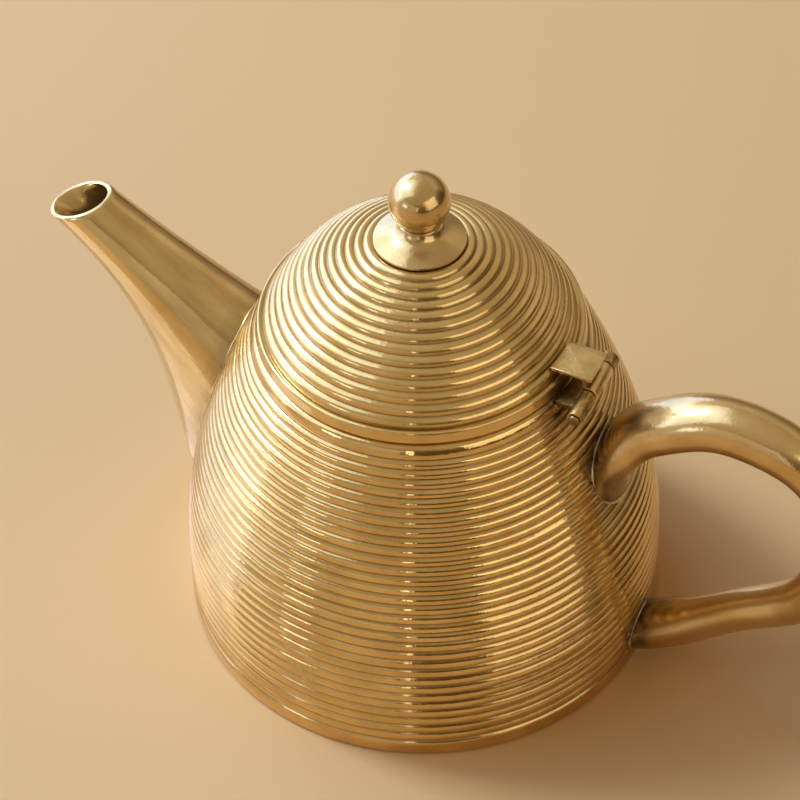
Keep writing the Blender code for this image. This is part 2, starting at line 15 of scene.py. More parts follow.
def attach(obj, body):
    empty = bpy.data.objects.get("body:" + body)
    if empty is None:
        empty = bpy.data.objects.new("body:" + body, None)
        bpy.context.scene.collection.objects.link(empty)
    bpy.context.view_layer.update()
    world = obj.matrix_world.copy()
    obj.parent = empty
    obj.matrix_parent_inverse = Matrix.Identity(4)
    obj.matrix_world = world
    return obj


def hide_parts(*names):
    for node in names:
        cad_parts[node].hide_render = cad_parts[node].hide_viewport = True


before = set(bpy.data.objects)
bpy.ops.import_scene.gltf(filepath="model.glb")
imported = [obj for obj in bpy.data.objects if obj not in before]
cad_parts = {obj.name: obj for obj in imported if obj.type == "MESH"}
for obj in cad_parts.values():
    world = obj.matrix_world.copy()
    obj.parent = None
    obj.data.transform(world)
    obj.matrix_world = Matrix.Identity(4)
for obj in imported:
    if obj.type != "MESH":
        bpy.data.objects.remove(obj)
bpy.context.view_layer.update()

MM = 0.001
UP = Vector((0.0, 0.0, 1.0))

# Camera, as the photograph was taken
CAMERA_AZIMUTH = math.radians(26.0)
CAMERA_ELEVATION = math.radians(46.12)
CAMERA_ROLL = math.radians(-1.37)
CAMERA_DISTANCE = 665.8 * MM
CAMERA_SIDE = 21.0 / 2800.0
CAMERA_DROP = 167.4 / 2800.0
CAMERA_LENS = 126.0
CAMERA_SENSOR = 36.0

# Outline of the body and the lid, as in the solids
FOOT_RADIUS = 55.0 * MM
SEAM_RADIUS = 36.2 * MM
SEAM_HEIGHT = 81.2 * MM
SEAM_LEAN = math.radians(26.0)
CROWN_RISE = 26.8 * MM
FOOT_REACH = 28.0 * MM
SHOULDER_REACH = 43.0 * MM
LID_REACH = 18.0 * MM
CROWN_REACH = 16.8 * MM
WALL = 1.5 * MM
GAP = 0.3 * MM
SEAM_GAP = 0.4 * MM

# Ribs, with the spread of their depths
BODY_RIBS = 31
LID_RIBS = 14
RIB_DEPTH = 0.45 * MM
RIB_FALL = 0.5 * MM
RIB_SPREAD = (0.9, 1.08)
RIB_GRADING = 0.13
RIB_ROUNDNESS = 2.0
RIB_SAMPLES = 8

# Plain bands at the foot, the rim and the lid's lower edge
FOOT_EASE = 0.35 * MM
FOOT_BAND = 4.2 * MM
FOOT_BAND_START = 0.5 * MM
FOOT_BAND_END = FOOT_BAND - 0.7 * MM
FOOT_BAND_EDGE = FOOT_BAND - 0.3 * MM
FOOT_BAND_FALL = 0.2 * MM
RIM_BAND = 3.4 * MM
RIM_ROUNDNESS = 3.0
RIM_SAMPLES = 9
LID_BAND = 3.1 * MM
LID_BAND_SHARES = (0.1, 0.3, 0.5, 0.7, 0.92)
LID_EDGE_EASE = 0.4 * MM
LID_LIP = 0.7 * MM
LID_LIP_EASE = 0.15 * MM
LID_LIP_STEP = 0.5 * MM
LID_LIP_RISE = 0.05 * MM

# Steps round the turned pieces
ROUND_STEPS = 144
FINIAL_STEPS = 72
WASHER_STEPS = 64
NUT_STEPS = 48
CYLINDER_STEPS = 40
PIN_STEPS = 32
HOLE_STEPS = 24

# Angles above which an edge is shaded as a crease, in degrees
TURNED_CREASE = 40.0
BODY_CREASE = 50.0
TUBE_CREASE = 60.0
SOLDER_CREASE = 80.0
NUT_CREASE = 20.0
EASED_CREASE = 30.0

# Collar, skirt and base
CORNER_EASE = 0.3 * MM
COLLAR_WALL = 1.4 * MM
COLLAR_DEPTH = 7.0 * MM
SKIRT_WALL = 1.2 * MM
SKIRT_DEPTH = 4.5 * MM
SKIRT_FLANGE = 1.5 * MM
SKIRT_CLEARANCE = 0.9 * MM
BASE_THICKNESS = 1.6 * MM
BASE_EASE = 0.25 * MM
BASE_RING_SHARES = (0.80, 0.79, 0.78)
BASE_RING_DEPTH = 0.25 * MM
BASE_DIMPLE_SHARES = (0.04, 0.03)
BASE_DIMPLE_DEPTH = 0.3 * MM

# Finial
BALL_RADIUS = 6.6 * MM
BALL_RISE = 10.2 * MM
BALL_STEPS = 40
NECK_RADIUS = 3.9 * MM
BEAD_RADIUS = 4.5 * MM
BEAD_RISE = 4.4 * MM
BEAD_HALF_HEIGHT = 0.45 * MM
BEAD_STEPS = 12
FLARE_RADIUS = 9.9 * MM
FLARE_POWER = 8.0
FLARE_CONE_SHARE = 0.6
FLARE_STEPS = 24
FLARE_SPACING = 1.6
FLARE_BULGE = 0.12 * MM
FLARE_LIP = 0.22 * MM
FLARE_LIP_WIDTHS = (1.0 * MM, 1.2 * MM)
FINIAL_FOOT_RADIUS = 10.2 * MM
FINIAL_FOOT_EDGE = 0.6 * MM
STUD_RADIUS = 2.0 * MM
STUD_TAIL = 1.0 * MM
STUD_EASE = 0.4 * MM
THREAD_TURNS = 12
THREAD_DEPTH = 0.25 * MM
WASHER_RADIUS = 5.0 * MM
WASHER_THICKNESS = 0.8 * MM
WASHER_EASE = 0.2 * MM
NUT_RADIUS = 4.0 * MM
NUT_THICKNESS = 3.2 * MM
NUT_CHAMFER = 0.5 * MM
NUT_CHAMFER_SHARE = 0.86

# Spout
SPOUT_WALL = 1.1 * MM
SPOUT_PATH = tuple(Vector((x * MM, z * MM)) for x, z in
                   ((-36.3, 38.0), (-52.2, 58.3), (-64.7, 73.9), (-92.6, 92.3)))
SPOUT_HALF_HEIGHTS = (29.2 * MM, 15.8 * MM, 5.7 * MM, 6.2 * MM)
SPOUT_HALF_WIDTHS = (18.6 * MM, 11.9 * MM, 7.0 * MM, 6.8 * MM)
SPOUT_MOUTH_SHARE = 0.893
SPOUT_MOUTH_SLANT = math.radians(20.0)
SPOUT_LIP = 0.3 * MM
SPOUT_RUN_ON = 60.0 * MM
SPOUT_ROOT_SEARCH = (-0.5, 0.75)
SPOUT_MOUTH_SEARCH = (0.6, 1.0)
SPOUT_GRAIN = (-0.77, 0.0, 0.64)
SPOUT_STEPS = 56
SPOUT_RINGS = 44

# Strainer
STRAINER_HEIGHT = 47.0 * MM
STRAINER_HOLE_RADIUS = 1.8 * MM
STRAINER_PITCH = 7.0 * MM
STRAINER_ROWS = (2, 3, 2)

# Handle stops: distance from the axis, height, half thickness, half width
HANDLE_STOPS = tuple(tuple(value * MM for value in stop) for stop in (
    (42.9, 47.6, 5.6, 10.0),
    (47.9, 63.6, 5.3, 9.4),
    (55.0, 72.2, 5.7, 7.2),
    (75.5, 79.4, 6.2, 6.2),
    (94.8, 67.0, 5.3, 5.5),
    (94.8, 39.0, 5.2, 5.3),
    (76.0, 21.4, 4.8, 4.9),
    (57.0, 7.6, 5.3, 6.4),
    (50.0, 5.3, 5.6, 7.0),
))
HANDLE_STEPS = 40
HANDLE_RINGS = 110
HANDLE_PLACES = 400
HANDLE_SPAN_PLACES = 60
HANDLE_ROOT_SEARCH = (0.0, 0.4)

# How far the roots of the spout and the handle sink into the body's wall
ROOT_SINK = 0.7 * MM

# Hinge
HINGE_X = SEAM_RADIUS + 5.4 * MM
HINGE_Z = SEAM_HEIGHT + 0.9 * MM
KNUCKLE_RADIUS = 2.1 * MM
KNUCKLE_END_GAP = 0.3 * MM
FAR_KNUCKLE = 3.0 * MM
NEAR_KNUCKLE = 7.4 * MM
NEAR_KNUCKLE_RADIUS = 1.75 * MM
TAB_NEAR = -6.2 * MM
TAB_FAR = 2.8 * MM
TAB_TOP = SEAM_HEIGHT + 5.7 * MM
TAB_THICKNESS = 0.9 * MM
TAB_UNDER = TAB_TOP - TAB_THICKNESS
TAB_EDGE = HINGE_X + 0.6 * MM
TAB_EASE = 0.18 * MM
LEG_FACE = TAB_EDGE - 1.2 * MM
LEG_ROLL = (107.0, -132.0)
LEG_ROLL_STEPS = 30
FAR_START = TAB_FAR + KNUCKLE_END_GAP
FAR_END = FAR_START + FAR_KNUCKLE
NEAR_START = TAB_NEAR - KNUCKLE_END_GAP
NEAR_END = NEAR_START - NEAR_KNUCKLE
LEAF_THICKNESS = 1.1 * MM
LEAF_DROP = 2.2 * MM
LEAF_LOW = HINGE_Z - LEAF_DROP
LEAF_NEAR_TRIM = 4.4 * MM
LEAF_EASE = 0.2 * MM
PIN_RADIUS = 0.9 * MM
PIN_END_SHARE = 0.7
PIN_EASE = 0.3 * MM
PIN_BEAD_RADIUS = 1.3 * MM
PIN_BEAD_STEPS = 8
PIN_TAIL = 0.7 * MM
BORE_REACH = 40.0 * MM
TRIM_DEPTH = 10.0 * MM

# Solder: half thickness of each bead, and how unevenly all of them run
SPOUT_SOLDER = 0.3 * MM
HANDLE_SOLDER = 0.33 * MM
HINGE_SOLDER = 0.5 * MM
HINGE_SOLDER_DROPS = (0.9 * MM, 0.1 * MM)
SOLDER_LEAST = 0.08
SOLDER_SPREAD = 2.6
SOLDER_FLATNESS = 0.75
SOLDER_STEPS = 10
JOINT_PLACES = 24

# Tarnish round the joints, and painted shade in the hinge's recess
TARNISH_AND_SHADE_SCALE = 2.5 * MM
TARNISH_AND_SHADE_MIDDLE = 0.55
TARNISH_AND_SHADE_SPREAD = 0.45

# Surface of every brass
COAT_ROUGHNESS = 0.10
COAT_IOR = 1.7
HAZE_ROUGHNESS = 0.44
CLOUD_MIDDLE = (0.3, 0.7)
TONE_PLACES = (0.32, 0.62)
DENT_DEPTH = 0.35 * MM
GRAIN_STRETCH = 0.9
LINE_SCALE = 1400.0
LINE_STRETCH = 0.012
LINE_STRENGTH = 0.75
LINE_DEPTH = 0.04 * MM
SPECK_SCALE = 700.0
SPECK_STOPS = ((0.24, (0.35, 0.35, 0.35)), (0.36, (1.0, 1.0, 1.0)))
SPECK_WEAR = 0.15
# Dark colour painted along the mask: painted shade in grooves and creases, and tarnish round the joints
SHADE_AND_TARNISH_COLOUR = (0.16, 0.085, 0.022)
GRIME_ROUGHNESS = 0.25

# Floor
FLOOR_COLOUR = (0.84, 0.495, 0.198)
FLOOR_ROUGHNESS = 0.5
FLOOR_GLOSS = 0.2
FLOOR_RADIUS = 8.0
FLOOR_STEPS = 64
FLOOR_DROP = 0.2 * MM

# Lamps: degrees round from the camera's side, height, distance, size, brightness, colour
DAYLIGHT = (0.78, 1.02, 1.46)
LAMPS = {
    "key": (-117.0, 1.75, 1.6, (0.6, 0.6), 24.4, DAYLIGHT),
    "sky": (-110.0, 1.6, 1.3, (2.6, 1.9), 1.2, DAYLIGHT),
    "window": (-130.0, 0.62, 1.9, (3.8, 1.2), 1.8, (0.76, 1.02, 1.62)),
    "bounce": (-87.0, 0.002, 0.300, (0.47, 0.10), 0.55, (0.85, 0.98, 1.22)),
    "room": (-52.0, 0.52, 2.0, (3.4, 1.02), 0.5, (1.0, 0.94, 0.80)),
    "pane": (-55.0, 0.50, 1.9, (0.40, 0.36), 2.2, DAYLIGHT),
    "wall": (47.0, 0.98, 2.2, (1.9, 1.4), 1.25, (1.0, 0.93, 0.78)),
    "slit": (-8.0, 0.5, 2.2, (0.09, 0.8), 2.8, (1.0, 0.98, 0.94)),
    "back": (150.0, 1.3, 2.4, (4.0, 2.2), 0.22, (1.0, 0.86, 0.66)),
}
FLAT_LAMP = "bounce"
LAMP_AIM = Vector((0.0, 0.0, 0.06))

# Room: what the metal shows from the horizon to straight up, and the dim fill on everything else
ROOM_STOPS = (
    (0.0, (0.055, 0.033, 0.016)),
    (0.30, (0.10, 0.066, 0.036)),
    (0.55, (0.47, 0.385, 0.255)),
    (1.0, (0.53, 0.45, 0.32)),
)
FILL_COLOUR = (1.0, 0.60, 0.28)
FILL_STRENGTH = 0.06


def bezier(points, t):
    """Returns the point at t on a cubic curve."""
    a, b, c, d = points
    s = 1.0 - t
    return a * s ** 3 + b * (3.0 * s * s * t) + c * (3.0 * s * t * t) + d * t ** 3


class Outline:
    """A turned outline, read by its length from the start."""

    SAMPLES = 240

    def __init__(self, points):
        self.points = [bezier(points, i / self.SAMPLES) for i in range(self.SAMPLES + 1)]
        self.lengths = [0.0]
        for before, after in zip(self.points, self.points[1:]):
            self.lengths.append(self.lengths[-1] + (after - before).length)
        self.length = self.lengths[-1]

    def at(self, length, inset=0.0):
        """Returns the point at a length, moved in from the surface by an inset."""
        length = min(max(length, 0.0), self.length)
        low, high = 0, self.SAMPLES - 1
        while low < high:
            middle = (low + high + 1) // 2
            if self.lengths[middle] <= length:
                low = middle
            else:
                high = middle - 1
        step = self.points[low + 1] - self.points[low]
        share = (length - self.lengths[low]) / step.length
        inward = Vector((-step.y, step.x)).normalized()
        return self.points[low] + step * share + inward * inset

    def length_at_height(self, height):
        """Returns the length at which the outline reaches a height."""
        for i in range(self.SAMPLES):
            low, high = self.points[i].y, self.points[i + 1].y
            if low <= height <= high:
                share = (height - low) / (high - low)
                return self.lengths[i] + share * (self.lengths[i + 1] - self.lengths[i])
        return self.length if height > 0.0 else 0.0

    def length_at_radius(self, radius):
        """Returns the length at which the outline has come in to a radius."""
        for i in range(self.SAMPLES):
            if self.points[i + 1].x <= radius:
                share = (self.points[i].x - radius) / (self.points[i].x - self.points[i + 1].x)
                return self.lengths[i] + share * (self.lengths[i + 1] - self.lengths[i])
        return self.length

    def radius_at_height(self, height):
        """Returns the radius at a height."""
        return self.at(self.length_at_height(height)).x


SEAM = Vector((SEAM_RADIUS, SEAM_HEIGHT))
DOWN_LEAN = Vector((math.sin(SEAM_LEAN), -math.cos(SEAM_LEAN)))
FOOT = Vector((FOOT_RADIUS, 0.0))
CROWN = Vector((0.0, SEAM_HEIGHT + CROWN_RISE))
BODY = Outline((FOOT, FOOT + Vector((0.0, FOOT_REACH)), SEAM + DOWN_LEAN * SHOULDER_REACH, SEAM))
LID = Outline((SEAM, SEAM - DOWN_LEAN * LID_REACH, CROWN + Vector((CROWN_REACH, 0.0)), CROWN))
CROWN_LENGTH = LID.length_at_radius(FINIAL_FOOT_RADIUS)
CROWN_SEAT = LID.at(CROWN_LENGTH).y
UNDER_CROWN = LID.at(CROWN_LENGTH, WALL).y
RIM = SEAM_HEIGHT - SEAM_GAP / 2
LID_EDGE = SEAM_HEIGHT + SEAM_GAP / 2


def new_object(name, data):
    """Puts a new object into the scene."""
    thing = bpy.data.objects.new(name, data)
    bpy.context.scene.collection.objects.link(thing)
    return thing


def new_piece(name, mesh, body, slot, *nodes):
    """Makes a piece of a mesh that rides on a body and stands for its nodes."""
    piece = new_object(name, mesh)
    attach(piece, body)
    if nodes:
        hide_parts(*nodes)
    return piece


def plain_mesh(work, name):
    """Turns a work mesh into a mesh as it is."""
    mesh = bpy.data.meshes.new(name)
    work.to_mesh(mesh)
    work.free()
    return mesh


def shade(mesh, crease):
    """Shades a mesh smooth, apart from its creases."""
    mesh.shade_smooth()
    mesh.set_sharp_from_angle(angle=math.radians(crease))


def smooth_mesh(work, name, crease=TURNED_CREASE):
    """Turns a work mesh into a smooth shaded mesh with its creases kept."""
    bmesh.ops.recalc_face_normals(work, faces=work.faces)
    mesh = plain_mesh(work, name)
    shade(mesh, crease)
    return mesh


def skin(work, rings, closed=True):
    """Puts faces between neighbouring rings, and if closed between the last and the first."""
    pairs = list(zip(rings, rings[1:]))
    if closed:
        pairs.append((rings[-1], rings[0]))
    for before, after in pairs:
        for k in range(len(before)):
            following = (k + 1) % len(before)
            corners = []
            for vertex in (before[k], before[following], after[following], after[k]):
                if vertex not in corners:
                    corners.append(vertex)
            if len(corners) > 2:
                work.faces.new(corners)


def lathe(name, profile, steps=ROUND_STEPS, closed=True):
    """Turns a profile of radius, height and share of painted shade about Z."""
    work = bmesh.new()
    # Mask of painted shade, which tarnish round the joints is added to later
    groove = work.verts.layers.float.new("groove")
    rings = []
    for radius, height, depth in profile:
        count = steps if radius else 1
        ring = []
        for k in range(count):
            angle = math.tau * k / steps
            vertex = work.verts.new((radius * math.cos(angle), radius * math.sin(angle), height))
            vertex[groove] = depth
            ring.append(vertex)
        rings.append(ring * (steps // count))
    skin(work, rings, closed)
    return smooth_mesh(work, name)


def turned_piece(name, profile, body, node, steps=ROUND_STEPS, closed=True):
    """Turns a piece that stands for one node."""
    return new_piece(name, lathe(name, profile, steps, closed), body, node, node)


def plain(outline, start, end, inset, count):
    """Lists points along an outline at an inset."""
    points = [outline.at(start + (end - start) * i / (count - 1), inset) for i in range(count)]
    return [(point.x, point.y, 0.0) for point in points]


def ribbed(outline, start, end, ribs, chance):
    """Lists rounded ribs between two lengths of an outline, from groove to groove."""
    points = []
    span = end - start
    for rib in range(ribs):
        depth = RIB_FALL * chance.uniform(*RIB_SPREAD)
        for i in range(RIB_SAMPLES):
            share = (rib + i / RIB_SAMPLES) / ribs
            graded = share + RIB_GRADING * share * (1.0 - share)
            fall = abs(2.0 * i / RIB_SAMPLES - 1.0) ** RIB_ROUNDNESS
            point = outline.at(start + span * graded, depth * fall)
            # The third value paints shade into the groove between ribs, darkest at the groove
            points.append((point.x, point.y, fall ** 2))
    point = outline.at(end, RIB_FALL)
    points.append((point.x, point.y, 1.0))
    return points


def applied(piece):
    """Replaces a piece's mesh by the one its modifiers give."""
    bpy.context.view_layer.update()
    evaluated = piece.evaluated_get(bpy.context.evaluated_depsgraph_get())
    mesh = bpy.data.meshes.new_from_object(evaluated)
    piece.modifiers.clear()
    piece.data = mesh


def cylinder(radius, start, end, steps=CYLINDER_STEPS):
    """Makes a loose capped cylinder to cut or join with."""
    start = Vector(start)
    end = Vector(end)
    work = bmesh.new()
    bmesh.ops.create_cone(work, cap_ends=True, segments=steps, radius1=radius, radius2=radius,
                          depth=(end - start).length)
    turn = UP.rotation_difference(end - start)
    for vertex in work.verts:
        vertex.co = turn @ vertex.co + (start + end) / 2
    return new_object("tool", plain_mesh(work, "tool"))


def rectangle(left, right, low, high):
    """Lists the corners of a rectangle in X and Z."""
    return [(left, low), (left, high), (right, high), (right, low)]


def prism(outline, low, high):
    """Makes the mesh of a prism from an outline in X and Z, between two places along Y."""
    work = bmesh.new()
    near = [work.verts.new((x, low, z)) for x, z in outline]
    far = [work.verts.new((x, high, z)) for x, z in outline]
    work.faces.new(near)
    work.faces.new(far)
    skin(work, [near, far], closed=False)
    bmesh.ops.recalc_face_normals(work, faces=work.faces)
    return plain_mesh(work, "tool")


def combine(piece, tools, operation):
    """Joins or cuts a piece with loose tools and removes them."""
    for tool in tools:
        change = piece.modifiers.new("combine", "BOOLEAN")
        change.operation = operation
        change.solver = "EXACT"
        change.object = tool
    applied(piece)
    for tool in tools:
        bpy.data.objects.remove(tool, do_unlink=True)


def soften(piece, width):
    """Rounds a piece's sharp edges and shades it smooth."""
    bevel = piece.modifiers.new("soften", "BEVEL")
    bevel.width = width
    bevel.segments = 2
    bevel.limit_method = "ANGLE"
    bevel.angle_limit = math.radians(EASED_CREASE)
    applied(piece)
    shade(piece.data, EASED_CREASE)


def make_camera():
    """Puts the camera where the photograph was taken from."""
    turn = Matrix.Rotation(CAMERA_AZIMUTH, 3, "Z")
    ahead = Vector((0.0, math.cos(CAMERA_ELEVATION), -math.sin(CAMERA_ELEVATION)))
    right = Vector((1.0, 0.0, 0.0))
    upward = Vector((0.0, math.sin(CAMERA_ELEVATION), math.cos(CAMERA_ELEVATION)))
    place = (ahead + right * CAMERA_SIDE - upward * CAMERA_DROP) * -CAMERA_DISTANCE
    rolled_right = right * math.cos(CAMERA_ROLL) + upward * math.sin(CAMERA_ROLL)
    rolled_up = upward * math.cos(CAMERA_ROLL) - right * math.sin(CAMERA_ROLL)
    axes = Matrix((turn @ rolled_right, turn @ rolled_up, turn @ -ahead)).transposed()
    data = bpy.data.cameras.new("camera")
    data.lens = CAMERA_LENS
    data.sensor_width = CAMERA_SENSOR
    camera = new_object("camera", data)
    camera.matrix_world = Matrix.Translation(turn @ place) @ axes.to_4x4()
    bpy.context.scene.camera = camera


def make_body(chance):
    """Makes the ribbed body wall with its strainer holes."""
    top = BODY.length_at_height(RIM)
    # Third values paint shade at the foot's edge, at the foot band's step and along the rim's rounding
    outer = [(FOOT_RADIUS - FOOT_EASE, 0.0, 0.2), (FOOT_RADIUS, FOOT_EASE, 0.0)]
    outer += plain(BODY, FOOT_BAND_START, FOOT_BAND_END, 0.0, 5)
    outer += [(*BODY.at(FOOT_BAND_EDGE, FOOT_BAND_FALL), 0.4)]
    outer += ribbed(BODY, FOOT_BAND, top - RIM_BAND, BODY_RIBS, chance)
    for i in range(1, RIM_SAMPLES + 1):
        share = i / RIM_SAMPLES
        fall = abs(2.0 * share - 1.0) ** RIM_ROUNDNESS
        point = BODY.at(top - RIM_BAND + RIM_BAND * share, RIB_FALL * fall)
        outer.append((point.x, min(point.y, RIM), fall ** 2 * 0.5))
    inner = plain(BODY, 0.0, top, WALL, 40)
    inner[0] = (inner[0][0], 0.0, 0.0)
    inner[-1] = (inner[-1][0], RIM, 0.0)
    piece = turned_piece("body_wall", list(reversed(outer)) + inner, "pot", "body_shell")
    wall = BODY.radius_at_height(STRAINER_HEIGHT)
    holes = []
    for row, count in enumerate(STRAINER_ROWS):
        height = STRAINER_HEIGHT + (1 - row) * STRAINER_PITCH * math.sin(math.pi / 3)
        for column in range(count):
            side = (column - (count - 1) / 2) * STRAINER_PITCH
            start = (-wall - 3 * WALL, side, height)
            end = (-wall + 6 * WALL, side, height)
            holes.append(cylinder(STRAINER_HOLE_RADIUS, start, end, HOLE_STEPS))
    combine(piece, holes, "DIFFERENCE")
    shade(piece.data, BODY_CREASE)
    return piece


def make_base():
    """Makes the flat bottom with a shallow turned ring."""
    top = BODY.at(BODY.length_at_height(BASE_THICKNESS), WALL).x - GAP
    edge = BODY.at(0.0, WALL).x - GAP
    ring_out, ring, ring_in = (share * edge for share in BASE_RING_SHARES)
    dimple_out, dimple = (share * edge for share in BASE_DIMPLE_SHARES)
    # Third values paint shade in the turned ring and in the dimple
    profile = [(0.0, BASE_THICKNESS, 0.0), (top, BASE_THICKNESS, 0.0), (edge, BASE_EASE, 0.0),
               (edge - BASE_EASE, 0.0, 0.0), (ring_out, 0.0, 0.0), (ring, BASE_RING_DEPTH, 1.0),
               (ring_in, 0.0, 0.0), (dimple_out, 0.0, 0.0), (dimple, BASE_DIMPLE_DEPTH, 1.0),
               (0.0, BASE_DIMPLE_DEPTH, 1.0)]
    return turned_piece("base_plate", profile, "pot", "base_disc", closed=False)


def collar_radius():
    """Returns the outer radius of the collar in the mouth."""
    return BODY.at(BODY.length_at_height(RIM), WALL).x - GAP


def ring_profile(outer, inner, low, high, ease):
    """Lists a ring's section with its corners eased."""
    return [(outer - ease, high, 0.0), (outer, high - ease, 0.0),
            (outer, low + ease, 0.0), (outer - ease, low, 0.0),
            (inner + ease, low, 0.0), (inner, low + ease, 0.0),
            (inner, high - ease, 0.0), (inner + ease, high, 0.0)]


def make_collar():
    """Makes the collar inside the mouth."""
    outer = collar_radius()
    profile = ring_profile(outer, outer - COLLAR_WALL, RIM - COLLAR_DEPTH, RIM, CORNER_EASE)
    return turned_piece("mouth_ring", profile, "pot", "mouth_collar")


def make_lid(chance):
    """Makes the ribbed dome with its upright plain band."""
    hole = STUD_RADIUS + GAP
    start = LID.length_at_height(LID_EDGE)
    foot = LID.at(start)
    lip = LID.at(start + LID_BAND - RIB_DEPTH, -LID_LIP)
    # Third values paint shade at the lid's lower edge and under the lip's step
    outer = [(foot.x - LID_EDGE_EASE, LID_EDGE, 0.3)]
    for share in LID_BAND_SHARES:
        point = foot.lerp(lip, share)
        outer.append((point.x, point.y, 0.0))
    outer.append((lip.x - LID_LIP_EASE, lip.y, 0.0))
    outer.append((lip.x - LID_LIP_STEP, lip.y + LID_LIP_RISE, 0.4))
    outer += ribbed(LID, start + LID_BAND, CROWN_LENGTH, LID_RIBS, chance)
    inner = plain(LID, start, CROWN_LENGTH, WALL, 24)
    inner[0] = (inner[0][0], LID_EDGE, 0.0)
    profile = [(hole, CROWN_SEAT - RIB_DEPTH, 0.0)]
    profile += list(reversed(outer)) + inner
    profile.append((hole, UNDER_CROWN, 0.0))
    return turned_piece("lid_dome", profile, "lid", "lid_shell")


def make_skirt():
    """Makes the flanged ring that centres the lid."""
    outer = collar_radius() - COLLAR_WALL - SKIRT_CLEARANCE
    inner = outer - SKIRT_WALL
    top = LID_EDGE + SKIRT_FLANGE
    low = RIM - SKIRT_DEPTH
    ease = CORNER_EASE
    edge_low = LID.at(LID.length_at_height(LID_EDGE), WALL).x - GAP
    edge_top = LID.at(LID.length_at_height(top), WALL).x - GAP
    profile = [(edge_top, top, 0.0), (edge_low, LID_EDGE, 0.0), (outer, LID_EDGE, 0.0),
               (outer, low + ease, 0.0), (outer - ease, low, 0.0), (inner + ease, low, 0.0),
               (inner, low + ease, 0.0), (inner, top - ease, 0.0), (inner + ease, top, 0.0)]
    return turned_piece("lid_ring", profile, "lid", "lid_skirt")


def make_finial():
    """Turns the ball, the beaded neck, the flared foot and the threaded stud."""
    seat = CROWN_SEAT - RIB_DEPTH + GAP
    centre = CROWN_SEAT + BALL_RISE
    joint = math.asin(NECK_RADIUS / BALL_RADIUS)
    profile = []
    for i in range(BALL_STEPS + 1):
        angle = (math.pi - joint) * i / BALL_STEPS
        profile.append((BALL_RADIUS * math.sin(angle), centre + BALL_RADIUS * math.cos(angle), 0.0))
    profile[0] = (0.0, profile[0][1], 0.0)
    # Painted shade where the ball meets the neck
    profile[-1] = (*profile[-1][:2], 0.8)
    bead = CROWN_SEAT + BEAD_RISE
    # The bead is painted darker towards its edges, as shade in its creases
    for i in range(BEAD_STEPS + 1):
        angle = math.pi * i / BEAD_STEPS
        radius = NECK_RADIUS + (BEAD_RADIUS - NECK_RADIUS) * math.sin(angle)
        profile.append((radius, bead + BEAD_HALF_HEIGHT * math.cos(angle), 1.0 - math.sin(angle)))
    flare_top = bead - BEAD_HALF_HEIGHT
    lip = seat - FLARE_LIP
    edge = seat + FINIAL_FOOT_EDGE - FLARE_LIP
    for i in range(1, FLARE_STEPS + 1):
        share = (i / FLARE_STEPS) ** FLARE_SPACING
        radius = NECK_RADIUS + (FLARE_RADIUS - NECK_RADIUS) * share
        fillet = 1.0 - (1.0 - share) ** FLARE_POWER
        fall = FLARE_CONE_SHARE * share + (1.0 - FLARE_CONE_SHARE) * fillet
        profile.append((radius, flare_top + (edge - flare_top) * fall, 0.0))
    # Painted shade under the flare's lip
    profile += [(FLARE_RADIUS + FLARE_BULGE, lip + FINIAL_FOOT_EDGE / 2, 0.2),
                (FLARE_RADIUS, lip, 0.6), (FLARE_RADIUS - FLARE_LIP_WIDTHS[0], lip, 0.0),
                (FLARE_RADIUS - FLARE_LIP_WIDTHS[1], seat, 0.0), (STUD_RADIUS, seat, 0.0)]
    tail = seat - GAP - WALL - 2 * GAP - WASHER_THICKNESS - NUT_THICKNESS - STUD_TAIL
    # The thread's roots are painted dark, as shade
    for i in range(THREAD_TURNS):
        height = seat + (tail - seat) * (i + 0.5) / THREAD_TURNS
        half = (seat - tail) / THREAD_TURNS / 2
        profile.append((STUD_RADIUS, height + half * 0.5, 0.0))
        profile.append((STUD_RADIUS - THREAD_DEPTH, height - half * 0.5, 1.0))
    profile += [(STUD_RADIUS - STUD_EASE, tail, 0.0), (0.0, tail, 0.0)]
    return turned_piece("finial", profile, "lid", "finial_knob", FINIAL_STEPS, closed=False)


def make_washer():
    """Makes the washer under the crown."""
    top = UNDER_CROWN - GAP
    profile = ring_profile(WASHER_RADIUS, STUD_RADIUS + GAP, top - WASHER_THICKNESS, top, WASHER_EASE)
    return turned_piece("washer", profile, "lid", "finial_washer", WASHER_STEPS)


def make_nut():
    """Makes the chamfered hexagon nut."""
    top = UNDER_CROWN - WASHER_THICKNESS - 2 * GAP
    low = top - NUT_THICKNESS
    bore = STUD_RADIUS + GAP
    work = bmesh.new()
    rings = []
    for reach, height in ((0.0, top), (NUT_CHAMFER_SHARE, top), (1.0, top - NUT_CHAMFER),
                          (1.0, low + NUT_CHAMFER), (NUT_CHAMFER_SHARE, low), (0.0, low)):
        ring = []
        for k in range(NUT_STEPS):
            angle = math.tau * k / NUT_STEPS
            across = math.cos(math.pi / 6) / math.cos((angle % (math.pi / 3)) - math.pi / 6)
            size = NUT_RADIUS * min(across, reach) if reach else bore
            ring.append(work.verts.new((size * math.cos(angle), size * math.sin(angle), height)))
        rings.append(ring)
    skin(work, rings)
    return new_piece("nut", smooth_mesh(work, "nut", NUT_CREASE), "lid", "finial_nut", "finial_nut")


def outside_by(point, margin):
    """Returns how far a point is outside the body's wall, beyond a margin."""
    radius = BODY.radius_at_height(min(max(point.z, 0.0), SEAM_HEIGHT))
    return math.hypot(point.x, point.y) - radius - margin


def crossing(inside, low, high):
    """Finds where a test changes from true to false between two values."""
    for _ in range(40):
        middle = (low + high) / 2
        if inside(middle):
            low = middle
        else:
            high = middle
    return high


